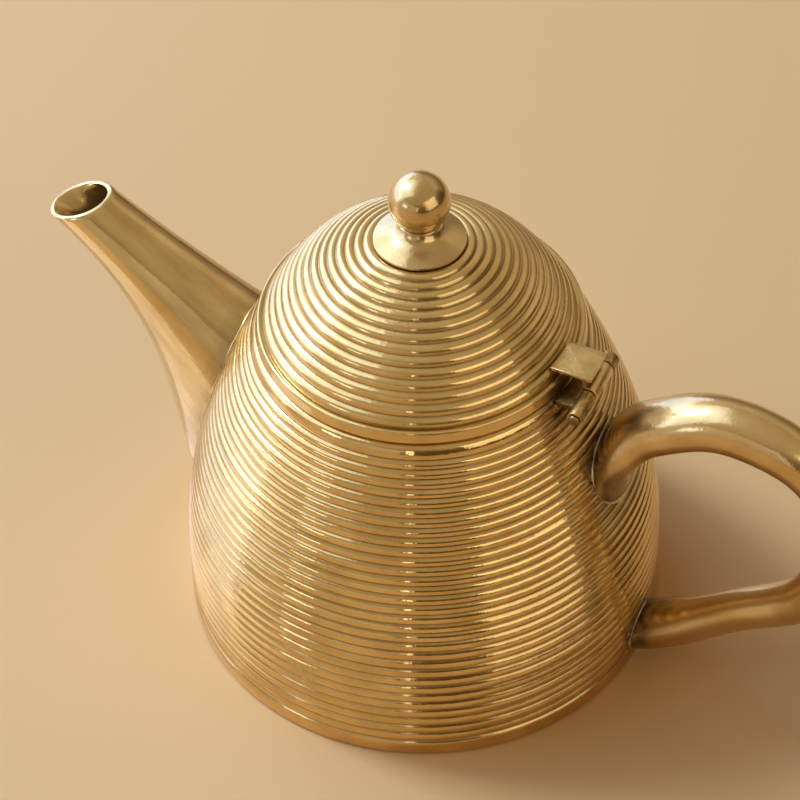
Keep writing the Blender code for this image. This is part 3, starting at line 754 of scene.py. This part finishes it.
def spout_point(t, angle, thinner):
    """Returns a point on the spout's tube, run on straight below its root."""
    held = max(t, 0.0)
    centre = bezier(SPOUT_PATH, held)
    step = 0.01
    ahead = (bezier(SPOUT_PATH, held + step) - bezier(SPOUT_PATH, held - step)).normalized()
    across = Vector((-ahead.y, ahead.x))
    height = bezier(SPOUT_HALF_HEIGHTS, held) - thinner
    width = bezier(SPOUT_HALF_WIDTHS, held) - thinner
    centre = centre + across * (height * math.cos(angle)) + ahead * (min(t, 0.0) * SPOUT_RUN_ON)
    return Vector((centre.x, width * math.sin(angle), centre.y))


def spout_start(angle, thinner, margin):
    """Returns where along the spout a line of its tube comes out of the body, beyond a margin."""
    return crossing(lambda t: outside_by(spout_point(t, angle, thinner), margin) < 0.0, *SPOUT_ROOT_SEARCH)


def make_spout():
    """Lofts the spout from the body's wall to its slanted mouth, and lists its root."""
    mouth = bezier(SPOUT_PATH, SPOUT_MOUTH_SHARE)
    normal = Vector((-math.sin(SPOUT_MOUTH_SLANT), 0.0, math.cos(SPOUT_MOUTH_SLANT)))
    middle = Vector((mouth.x, 0.0, mouth.y))
    angles = [math.tau * k / SPOUT_STEPS for k in range(SPOUT_STEPS)]
    work = bmesh.new()
    layers = []
    for thinner in (0.0, SPOUT_WALL):
        rings = [[] for _ in range(SPOUT_RINGS + 1)]
        for angle in angles:
            start = spout_start(angle, thinner, -ROOT_SINK)
            end = crossing(lambda t: (spout_point(t, angle, thinner) - middle).dot(normal) < 0.0,
                           *SPOUT_MOUTH_SEARCH)
            for j in range(SPOUT_RINGS + 1):
                t = start + (end - start) * j / SPOUT_RINGS
                rings[j].append(work.verts.new(spout_point(t, angle, thinner)))
        layers.append(rings)
    outer, inner = layers
    lip = []
    for out_vertex, in_vertex in zip(outer[-1], inner[-1]):
        lip.append(work.verts.new((out_vertex.co + in_vertex.co) / 2 + normal * SPOUT_LIP))
    skin(work, outer + [lip] + list(reversed(inner)))
    mesh = smooth_mesh(work, "spout_tube", TUBE_CREASE)
    piece = new_piece("spout_tube", mesh, "pot", "spout", "spout")
    root = [spout_point(spout_start(angle, 0.0, 0.0), angle, 0.0) for angle in angles]
    return piece, root


def handle_path():
    """Runs the handle's curve through its stops and lists evenly spaced places with their sizes."""
    curve = bpy.data.curves.new("handle_path", "CURVE")
    spline = curve.splines.new("BEZIER")
    spline.bezier_points.add(len(HANDLE_STOPS) - 1)
    for point, stop in zip(spline.bezier_points, HANDLE_STOPS):
        point.co = (stop[0], stop[1], 0.0)
        point.handle_left_type = "AUTO"
        point.handle_right_type = "AUTO"
    guide = new_object("handle_path", curve)
    bpy.context.view_layer.update()
    dense = []
    for i in range(len(HANDLE_STOPS) - 1):
        here = spline.bezier_points[i]
        following = spline.bezier_points[i + 1]
        row = interpolate_bezier(here.co, here.handle_right, following.handle_left, following.co,
                                 HANDLE_SPAN_PLACES + 1)
        for k, spot in enumerate(row[:-1]):
            share = k / HANDLE_SPAN_PLACES
            ease = share * share * (3.0 - 2.0 * share)
            sizes = Vector(HANDLE_STOPS[i][2:]).lerp(Vector(HANDLE_STOPS[i + 1][2:]), ease)
            dense.append(Vector((spot.x, spot.y, sizes.x, sizes.y)))
    dense.append(Vector(HANDLE_STOPS[-1]))
    bpy.data.objects.remove(guide, do_unlink=True)
    bpy.data.curves.remove(curve)
    lengths = [0.0]
    for before, after in zip(dense, dense[1:]):
        lengths.append(lengths[-1] + (after - before).xy.length)
    places = []
    j = 0
    for i in range(HANDLE_PLACES + 1):
        target = lengths[-1] * i / HANDLE_PLACES
        while j < len(lengths) - 2 and lengths[j + 1] < target:
            j += 1
        share = (target - lengths[j]) / (lengths[j + 1] - lengths[j])
        places.append(dense[j].lerp(dense[j + 1], share))
    return places


def handle_point(places, share, angle):
    """Returns a point on the handle's skin, by its share of the length and the angle round it."""
    i = min(int(share * HANDLE_PLACES), HANDLE_PLACES - 1)
    here = places[i].lerp(places[i + 1], share * HANDLE_PLACES - i)
    ahead = (places[min(i + 3, HANDLE_PLACES)] - places[max(i - 2, 0)]).xy.normalized()
    across = Vector((-ahead.y, ahead.x))
    spot = here.xy + across * (here.z * math.cos(angle))
    return Vector((spot.x, here.w * math.sin(angle), spot.y))


def handle_ends(places, angle, margin):
    """Returns the shares of the length at which the handle leaves and meets the body's wall."""
    def buried(share):
        return outside_by(handle_point(places, share, angle), margin) < 0.0

    start = crossing(buried, *HANDLE_ROOT_SEARCH)
    end = 1.0 - crossing(lambda share: buried(1.0 - share), *HANDLE_ROOT_SEARCH)
    return start, end


def make_handle():
    """Lofts the cast handle, ends it on the body's wall and lists both roots."""
    places = handle_path()
    work = bmesh.new()
    rings = [[] for _ in range(HANDLE_RINGS + 1)]
    roots = ([], [])
    for k in range(HANDLE_STEPS):
        angle = math.tau * k / HANDLE_STEPS
        start, end = handle_ends(places, angle, -ROOT_SINK)
        for j in range(HANDLE_RINGS + 1):
            share = start + (end - start) * j / HANDLE_RINGS
            rings[j].append(work.verts.new(handle_point(places, share, angle)))
        for root, share in zip(roots, handle_ends(places, angle, 0.0)):
            root.append(handle_point(places, share, angle))
    skin(work, rings, closed=False)
    for ring in (rings[0], rings[-1]):
        hub = work.verts.new(sum((vertex.co for vertex in ring), Vector()) / HANDLE_STEPS)
        for k in range(HANDLE_STEPS):
            work.faces.new((ring[k], ring[(k + 1) % HANDLE_STEPS], hub))
    mesh = smooth_mesh(work, "handle_loop", TUBE_CREASE)
    piece = new_piece("handle_loop", mesh, "pot", "handle", "handle")
    return piece, roots


def tarnish_and_shade(piece, points, reach, strength):
    """Darkens a piece in patches round a joint: tarnish at the handle and the spout, painted shade in the
    hinge's recess.
    """
    near = KDTree(len(points))
    for i, point in enumerate(points):
        near.insert(point, i)
    near.balance()
    attributes = piece.data.attributes
    layer = attributes.get("groove") or attributes.new("groove", "FLOAT", "POINT")
    for vertex in piece.data.vertices:
        distance = near.find(vertex.co)[2]
        if distance < reach:
            patch = TARNISH_AND_SHADE_MIDDLE + TARNISH_AND_SHADE_SPREAD * noise.noise(vertex.co / TARNISH_AND_SHADE_SCALE)
            depth = strength * (1.0 - distance / reach) * patch
            layer.data[vertex.index].value = max(layer.data[vertex.index].value, depth)


def leaf_joint():
    """Lists a narrow loop on the body under the hinge leaf, where its solder lies."""
    start = NEAR_END + LEAF_NEAR_TRIM
    points = []
    for drop in HINGE_SOLDER_DROPS:
        height = LEAF_LOW - drop
        radius = BODY.radius_at_height(height)
        row = []
        for i in range(JOINT_PLACES):
            side = start + (FAR_END - start) * i / (JOINT_PLACES - 1)
            row.append(Vector((math.sqrt(radius * radius - side * side), side, height)))
        points += reversed(row) if points else row
    return points


def shaded_leg_line():
    """Lists places along the face of the tab's leg, above the barrel, where shade is painted under the
    tab's overhang.
    """
    points = []
    for i in range(JOINT_PLACES):
        side = TAB_NEAR + (TAB_FAR - TAB_NEAR) * i / (JOINT_PLACES - 1)
        points.append(Vector((LEG_FACE, side, TAB_UNDER)))
        points.append(Vector((LEG_FACE, side, HINGE_Z + KNUCKLE_RADIUS)))
    return points


def solder_bead(name, points, radius, seed, slot="handle"):
    """Runs an uneven bead of solder along a joint on the body."""
    chance = random.Random(seed)
    count = len(points)
    work = bmesh.new()
    sizes = [radius * (SOLDER_LEAST + SOLDER_SPREAD * chance.random() ** 3) for _ in range(count)]
    sizes = [(sizes[i - 1] + sizes[i] * 2 + sizes[(i + 1) % count]) / 4 for i in range(count)]
    rings = []
    for i in range(count):
        ahead = (points[(i + 1) % count] - points[i - 1]).normalized()
        outward = Vector((points[i].x, points[i].y, 0.0)).normalized()
        side = ahead.cross(outward).normalized()
        outward = side.cross(ahead).normalized()
        ring = []
        for k in range(SOLDER_STEPS):
            angle = math.tau * k / SOLDER_STEPS
            offset = outward * math.cos(angle) * SOLDER_FLATNESS + side * math.sin(angle)
            ring.append(work.verts.new(points[i] + offset * sizes[i]))
        rings.append(ring)
    skin(work, rings)
    return new_piece(name, smooth_mesh(work, name, SOLDER_CREASE), "pot", slot)


def arc(centre_x, centre_z, radius, start, end, count):
    """Lists points on an arc in X and Z."""
    points = []
    for i in range(count + 1):
        angle = math.radians(start + (end - start) * i / count)
        points.append((centre_x + radius * math.cos(angle), centre_z + radius * math.sin(angle)))
    return points


def on_hinge(radius, start, end):
    """Makes a loose cylinder on the hinge's axis, between two places along Y."""
    return cylinder(radius, (HINGE_X, start, HINGE_Z), (HINGE_X, end, HINGE_Z))


def surface_tool():
    """Makes the tool that trims a leaf to the outside of the pot."""
    points = plain(BODY, 0.0, BODY.length, -GAP / 2, 40) + plain(LID, 0.0, LID.length, -GAP / 2, 30)[1:]
    profile = list(reversed(points))
    profile[0] = (0.0, profile[0][1], 0.0)
    profile += [(FOOT_RADIUS, -TRIM_DEPTH, 0.0), (0.0, -TRIM_DEPTH, 0.0)]
    return new_object("tool", lathe("tool", profile, closed=False))


def bore_and_trim(piece):
    """Bores a hinge leaf for the pin and trims it to the pot."""
    bore = on_hinge(PIN_RADIUS + GAP, -BORE_REACH, BORE_REACH)
    combine(piece, [bore, surface_tool()], "DIFFERENCE")


def make_lid_leaf():
    """Makes the square tab, the leg set back under it and its rolled knuckle."""
    inner = LID.radius_at_height(TAB_TOP) - WALL
    outline = rectangle(inner, TAB_EDGE, TAB_UNDER, TAB_TOP) + [(LEG_FACE, TAB_UNDER)]
    outline += arc(HINGE_X, HINGE_Z, KNUCKLE_RADIUS, *LEG_ROLL, LEG_ROLL_STEPS)
    outline.append((LEG_FACE - TAB_THICKNESS, TAB_UNDER))
    mesh = prism(outline, TAB_NEAR, TAB_FAR)
    piece = new_piece("hinge_tab", mesh, "lid", "lid_hinge_leaf", "lid_hinge_leaf")
    bore_and_trim(piece)
    soften(piece, TAB_EASE)
    return piece


def make_body_leaf():
    """Makes the notched leaf on the body and the two knuckles rolled from it."""
    top = LEAF_LOW + LEAF_THICKNESS
    inner = BODY.radius_at_height(LEAF_LOW) - WALL
    plate = prism(rectangle(inner, HINGE_X, LEAF_LOW, top), NEAR_END + LEAF_NEAR_TRIM, FAR_END - GAP)
    piece = new_piece("hinge_leaf", plate, "pot", "body_hinge_leaf", "body_hinge_leaf")
    outline = rectangle(HINGE_X - KNUCKLE_RADIUS - GAP, HINGE_X + KNUCKLE_RADIUS,
                        LEAF_LOW - LEAF_DROP, top + LEAF_DROP)
    notch = new_object("tool", prism(outline, NEAR_START - GAP, FAR_START + GAP))
    combine(piece, [notch], "DIFFERENCE")
    far = on_hinge(KNUCKLE_RADIUS, FAR_START, FAR_END)
    near = on_hinge(NEAR_KNUCKLE_RADIUS, NEAR_END, NEAR_START)
    combine(piece, [far, near], "UNION")
    bore_and_trim(piece)
    soften(piece, LEAF_EASE)
    return piece


def make_pin():
    """Makes the pin with its peened bead."""
    far_end = FAR_END + PIN_TAIL
    near_end = NEAR_END - GAP
    profile = [(0.0, far_end, 0.0), (PIN_RADIUS * PIN_END_SHARE, far_end, 0.0),
               (PIN_RADIUS, far_end - PIN_EASE, 0.0), (PIN_RADIUS, near_end, 0.0)]
    for i in range(PIN_BEAD_STEPS + 1):
        angle = math.pi / 2 * i / PIN_BEAD_STEPS
        profile.append((PIN_BEAD_RADIUS * math.cos(angle), near_end - PIN_TAIL * math.sin(angle), 0.0))
    profile[-1] = (0.0, profile[-1][1], 0.0)
    mesh = lathe("pin", profile, PIN_STEPS, closed=False)
    mesh.transform(Matrix.Translation((HINGE_X, 0.0, HINGE_Z)) @ Matrix.Rotation(-math.pi / 2, 4, "X"))
    return new_piece("pin", mesh, "pot", "hinge_pin", "hinge_pin")


def link(tree, source, target):
    """Joins two sockets."""
    tree.links.new(source, target)


def math_node(tree, operation, *values):
    """Adds a calculation with sockets and plain numbers."""
    node = tree.nodes.new("ShaderNodeMath")
    node.operation = operation
    for socket, value in zip(node.inputs, values):
        if isinstance(value, float):
            socket.default_value = value
        else:
            link(tree, value, socket)
    return node.outputs[0]


def cloud_node(tree, place, scale, detail, roughness=0.5):
    """Adds a cloud of noise, read at a place."""
    node = tree.nodes.new("ShaderNodeTexNoise")
    node.inputs["Scale"].default_value = scale
    node.inputs["Detail"].default_value = detail
    node.inputs["Roughness"].default_value = roughness
    link(tree, place, node.inputs["Vector"])
    return node.outputs["Fac"]


def ramp_node(tree, value, stops):
    """Adds a ramp through stops of place and colour."""
    node = tree.nodes.new("ShaderNodeValToRGB")
    elements = node.color_ramp.elements
    for element, (place, colour) in zip(elements, (stops[0], stops[-1])):
        element.position = place
        element.color = (*colour, 1.0)
    for place, colour in stops[1:-1]:
        elements.new(place).color = (*colour, 1.0)
    link(tree, value, node.inputs["Fac"])
    return node.outputs["Color"]


def range_node(tree, cloud, low, high):
    """Spreads the middle of a cloud's values between two others."""
    node = tree.nodes.new("ShaderNodeMapRange")
    node.inputs["From Min"].default_value = CLOUD_MIDDLE[0]
    node.inputs["From Max"].default_value = CLOUD_MIDDLE[1]
    node.inputs["To Min"].default_value = low
    node.inputs["To Max"].default_value = high
    link(tree, cloud, node.inputs["Value"])
    return node.outputs["Result"]


def bump_node(tree, height, strength, depth, under=None):
    """Adds bumps, on top of others if there are any."""
    node = tree.nodes.new("ShaderNodeBump")
    node.inputs["Strength"].default_value = strength
    node.inputs["Distance"].default_value = depth
    link(tree, height, node.inputs["Height"])
    if under is not None:
        link(tree, under, node.inputs["Normal"])
    return node.outputs["Normal"]


def spun_place(tree, place):
    """Winds a place round the pot's axis, so that a texture runs in fine rings."""
    split = tree.nodes.new("ShaderNodeSeparateXYZ")
    link(tree, place, split.inputs[0])
    turn = math_node(tree, "ARCTAN2", split.outputs["Y"], split.outputs["X"])
    slow = math_node(tree, "MULTIPLY", turn, LINE_STRETCH)
    wide = tree.nodes.new("ShaderNodeCombineXYZ")
    link(tree, slow, wide.inputs["X"])
    link(tree, split.outputs["Z"], wide.inputs["Y"])
    return wide.outputs[0]


def drawn_place(tree, place, grain):
    """Squeezes a place along a grain, so that a texture is drawn out in streaks."""
    along, shift, drawn = (tree.nodes.new("ShaderNodeVectorMath") for _ in range(3))
    along.operation = "DOT_PRODUCT"
    along.inputs[1].default_value = grain
    link(tree, place, along.inputs[0])
    shift.operation = "SCALE"
    shift.inputs[0].default_value = Vector(grain) * GRAIN_STRETCH
    link(tree, along.outputs["Value"], shift.inputs["Scale"])
    drawn.operation = "SUBTRACT"
    link(tree, place, drawn.inputs[0])
    link(tree, shift.outputs["Vector"], drawn.inputs[1])
    return drawn.outputs["Vector"]


def brass(name, bright, deep, roughness, spun=True, mottle=90.0, groove_dark=0.55, haze=0.2,
          grain=None, coat=1.0, dents=0.5):
    """Makes a brass with a haze of scratches, patches of tone, tool lines, painted shade in its hollows
    and tarnish round joints.
    """
    material = bpy.data.materials.new(name)
    material.use_nodes = True
    tree = material.node_tree
    nodes = tree.nodes
    place = nodes.new("ShaderNodeTexCoord").outputs["Object"]
    lines_from = spun_place(tree, place) if spun else place
    patches_from = place if grain is None else drawn_place(tree, place, grain)
    patches = cloud_node(tree, patches_from, mottle, 5.0, 0.6)
    lines = cloud_node(tree, lines_from, LINE_SCALE, 3.0)
    specks = cloud_node(tree, place, SPECK_SCALE, 2.0)

    # Colour: patches of tone, dark specks, and a dark colour along the mask: painted shade in the hollows
    # and creases, tarnish round the joints
    dotted = nodes.new("ShaderNodeMix")
    dotted.data_type = "RGBA"
    dotted.blend_type = "MULTIPLY"
    dotted.inputs["Factor"].default_value = SPECK_WEAR
    link(tree, ramp_node(tree, patches, tuple(zip(TONE_PLACES, (deep, bright)))), dotted.inputs["A"])
    link(tree, ramp_node(tree, specks, SPECK_STOPS), dotted.inputs["B"])
    shade_and_tarnish_mask = nodes.new("ShaderNodeAttribute")
    shade_and_tarnish_mask.attribute_name = "groove"
    # Strength of the painted shade and tarnish
    depth = math_node(tree, "MULTIPLY", shade_and_tarnish_mask.outputs["Fac"], groove_dark)
    shaded_and_tarnished = nodes.new("ShaderNodeMix")
    shaded_and_tarnished.data_type = "RGBA"
    shaded_and_tarnished.inputs["B"].default_value = (*SHADE_AND_TARNISH_COLOUR, 1.0)
    link(tree, depth, shaded_and_tarnished.inputs["Factor"])
    link(tree, dotted.outputs["Result"], shaded_and_tarnished.inputs["A"])

    # Relief: soft dents, with tool lines over them
    dented = bump_node(tree, patches, dents, DENT_DEPTH)
    relief = bump_node(tree, lines, LINE_STRENGTH, LINE_DEPTH, dented)

    # Polish under a clear coat, duller along the same mask of painted shade and tarnish
    polish = nodes["Principled BSDF"]
    polish.inputs["Coat Weight"].default_value = coat
    polish.inputs["Coat Roughness"].default_value = COAT_ROUGHNESS
    polish.inputs["Coat IOR"].default_value = COAT_IOR
    rough = range_node(tree, patches, roughness * 1.35, roughness * 0.75)
    dull = math_node(tree, "MULTIPLY_ADD", depth, GRIME_ROUGHNESS, rough)
    link(tree, dull, polish.inputs["Roughness"])

    # Haze of fine scratches, mixed with the polish
    hazy = nodes.new("ShaderNodeBsdfPrincipled")
    hazy.inputs["Roughness"].default_value = HAZE_ROUGHNESS
    for shader in (polish, hazy):
        shader.inputs["Metallic"].default_value = 1.0
        link(tree, shaded_and_tarnished.outputs["Result"], shader.inputs["Base Color"])
        link(tree, relief, shader.inputs["Normal"])
    both = nodes.new("ShaderNodeMixShader")
    link(tree, range_node(tree, patches, min(haze * 1.3, 1.0), haze * 0.7), both.inputs["Fac"])
    link(tree, polish.outputs["BSDF"], both.inputs[1])
    link(tree, hazy.outputs["BSDF"], both.inputs[2])
    link(tree, both.outputs["Shader"], nodes["Material Output"].inputs["Surface"])
    return material


def dress(piece, material):
    """Gives a piece its one material."""
    piece.data.materials.clear()
    piece.data.materials.append(material)


def make_floor():
    """Lays the plain pale floor."""
    work = bmesh.new()
    bmesh.ops.create_circle(work, cap_ends=True, segments=FLOOR_STEPS, radius=FLOOR_RADIUS)
    mesh = plain_mesh(work, "floor")
    floor = new_object("floor", mesh)
    floor.location = (0.0, 0.0, -FLOOR_DROP)
    material = bpy.data.materials.new("floor")
    material.use_nodes = True
    shader = material.node_tree.nodes["Principled BSDF"]
    shader.inputs["Base Color"].default_value = (*FLOOR_COLOUR, 1.0)
    shader.inputs["Roughness"].default_value = FLOOR_ROUGHNESS
    shader.inputs["Specular IOR Level"].default_value = FLOOR_GLOSS
    mesh.materials.append(material)


def area_light(name, azimuth, height, distance, size, radiance, colour):
    """Places a soft lamp of a set brightness, facing the pot or, if it lies flat, upwards."""
    angle = CAMERA_AZIMUTH + math.radians(azimuth)
    place = Vector((math.sin(angle) * distance, -math.cos(angle) * distance, height))
    data = bpy.data.lights.new(name, "AREA")
    data.shape = "RECTANGLE"
    data.size, data.size_y = size
    data.energy = radiance * math.pi * size[0] * size[1]
    data.color = colour
    lamp = new_object(name, data)
    lamp.location = place
    lamp.rotation_mode = "QUATERNION"
    if name == FLAT_LAMP:
        turn = Matrix.Rotation(CAMERA_AZIMUTH, 4, "Z").to_quaternion()
        lamp.rotation_quaternion = turn @ UP.to_track_quat("-Z", "Y")
    else:
        lamp.rotation_quaternion = (LAMP_AIM - place).to_track_quat("-Z", "Y")
    lamp.visible_camera = False


def make_light():
    """Sets the studio: daylight and its bounce at the left, dimmer panels on the other sides."""
    for name, settings in LAMPS.items():
        area_light(name, *settings)


def make_room():
    """Sets a soft room for the metal to show, dark and warm at the height of the table and paler above."""
    world = bpy.data.worlds.new("studio")
    bpy.context.scene.world = world
    world.use_nodes = True
    tree = world.node_tree
    nodes = tree.nodes
    fill = nodes["Background"]
    fill.inputs["Color"].default_value = (*FILL_COLOUR, 1.0)
    fill.inputs["Strength"].default_value = FILL_STRENGTH
    place = nodes.new("ShaderNodeTexCoord")
    split = nodes.new("ShaderNodeSeparateXYZ")
    link(tree, place.outputs["Generated"], split.inputs[0])
    shown = nodes.new("ShaderNodeBackground")
    link(tree, ramp_node(tree, split.outputs["Z"], ROOM_STOPS), shown.inputs["Color"])
    ray = nodes.new("ShaderNodeLightPath")
    seen = math_node(tree, "ADD", ray.outputs["Is Camera Ray"], ray.outputs["Is Glossy Ray"])
    either = math_node(tree, "ADD", seen, ray.outputs["Is Transmission Ray"])
    either.node.use_clamp = True
    both = nodes.new("ShaderNodeMixShader")
    link(tree, either, both.inputs["Fac"])
    link(tree, fill.outputs["Background"], both.inputs[1])
    link(tree, shown.outputs["Background"], both.inputs[2])
    link(tree, both.outputs["Shader"], nodes["World Output"].inputs["Surface"])


def main():
    """Builds every piece and the scene round it."""
    chance = random.Random(7)
    make_camera()

    # Kinds of brass, each by its bright tone, deep tone and roughness
    spun = brass("spun_brass", (0.77, 0.512, 0.168), (0.60, 0.375, 0.10), 0.07, haze=0.15)
    domed = brass("domed_brass", (0.77, 0.53, 0.195), (0.60, 0.395, 0.125), 0.09, haze=0.34)
    sheet = brass("sheet_brass", (0.77, 0.545, 0.215), (0.54, 0.34, 0.11), 0.12,
                  spun=False, mottle=190.0, haze=0.30, grain=SPOUT_GRAIN, dents=0.3)
    cast = brass("cast_brass", (0.70, 0.47, 0.185), (0.53, 0.34, 0.115), 0.17,
                 spun=False, mottle=110.0, haze=0.38)
    turned = brass("turned_brass", (0.67, 0.46, 0.18), (0.53, 0.345, 0.12), 0.08, haze=0.30)
    # Brass for the hinge's leaf, pin and solder: real tarnish, made darker to paint the shade of the
    # recess under the tab
    tarnished_shaded = brass("tarnished_shaded_brass", (0.61, 0.38, 0.13), (0.15, 0.095, 0.03), 0.34,
                      spun=False, mottle=420.0, groove_dark=0.95, coat=0.3)
    worn = brass("worn_brass", (0.74, 0.52, 0.21), (0.56, 0.38, 0.14), 0.26, spun=False, mottle=300.0)
    dull = brass("dull_brass", (0.58, 0.43, 0.22), (0.42, 0.29, 0.13), 0.40, mottle=60.0)
    solder = brass("solder", (0.70, 0.62, 0.46), (0.20, 0.13, 0.055), 0.36, spun=False, mottle=230.0)

    # Pot and lid
    body = make_body(chance)
    dress(body, spun)
    dress(make_base(), dull)
    dress(make_collar(), dull)
    lid = make_lid(chance)
    dress(lid, domed)
    dress(make_skirt(), dull)
    dress(make_finial(), turned)
    dress(make_washer(), worn)
    dress(make_nut(), worn)
    spout, spout_root = make_spout()
    dress(spout, sheet)
    handle, handle_roots = make_handle()
    dress(handle, cast)
    tab = make_lid_leaf()
    dress(tab, worn)
    leaf = make_body_leaf()
    dress(leaf, tarnished_shaded)
    dress(make_pin(), tarnished_shaded)

    # Solder at the joints
    leaf_root = leaf_joint()
    dress(solder_bead("solder_spout", spout_root, SPOUT_SOLDER, 3), worn)
    dress(solder_bead("solder_handle_top", handle_roots[0], HANDLE_SOLDER, 4), solder)
    dress(solder_bead("solder_handle_foot", handle_roots[1], HANDLE_SOLDER, 5), solder)
    dress(solder_bead("solder_hinge", leaf_root, HINGE_SOLDER, 6, "body_hinge_leaf"), tarnished_shaded)

    # Tarnish and painted shade: piece, joint, reach in millimetres and strength at the joint itself. The
    # hinge rows paint the shade of the recess under the tab, over some tarnish.
    both_roots = handle_roots[0] + handle_roots[1]
    for piece, joint, reach, strength in (
            (handle, both_roots, 9.0, 3.3),
            (body, both_roots, 8.0, 1.8),
            (spout, spout_root, 5.0, 1.3),
            (body, spout_root, 2.5, 0.9),
            # Painted shade of the hinge's recess, over some tarnish
            (body, leaf_root, 9.0, 3.0),
            (lid, leaf_root, 6.0, 2.6),
            (leaf, leaf_root, 6.0, 2.2),
            # Painted shade on the leg's face, under the tab
            (tab, shaded_leg_line(), 0.9, 2.4)):
        tarnish_and_shade(piece, joint, reach * MM, strength)

    make_floor()
    make_light()
    make_room()
    bpy.context.scene.view_settings.view_transform = "Standard"


main()
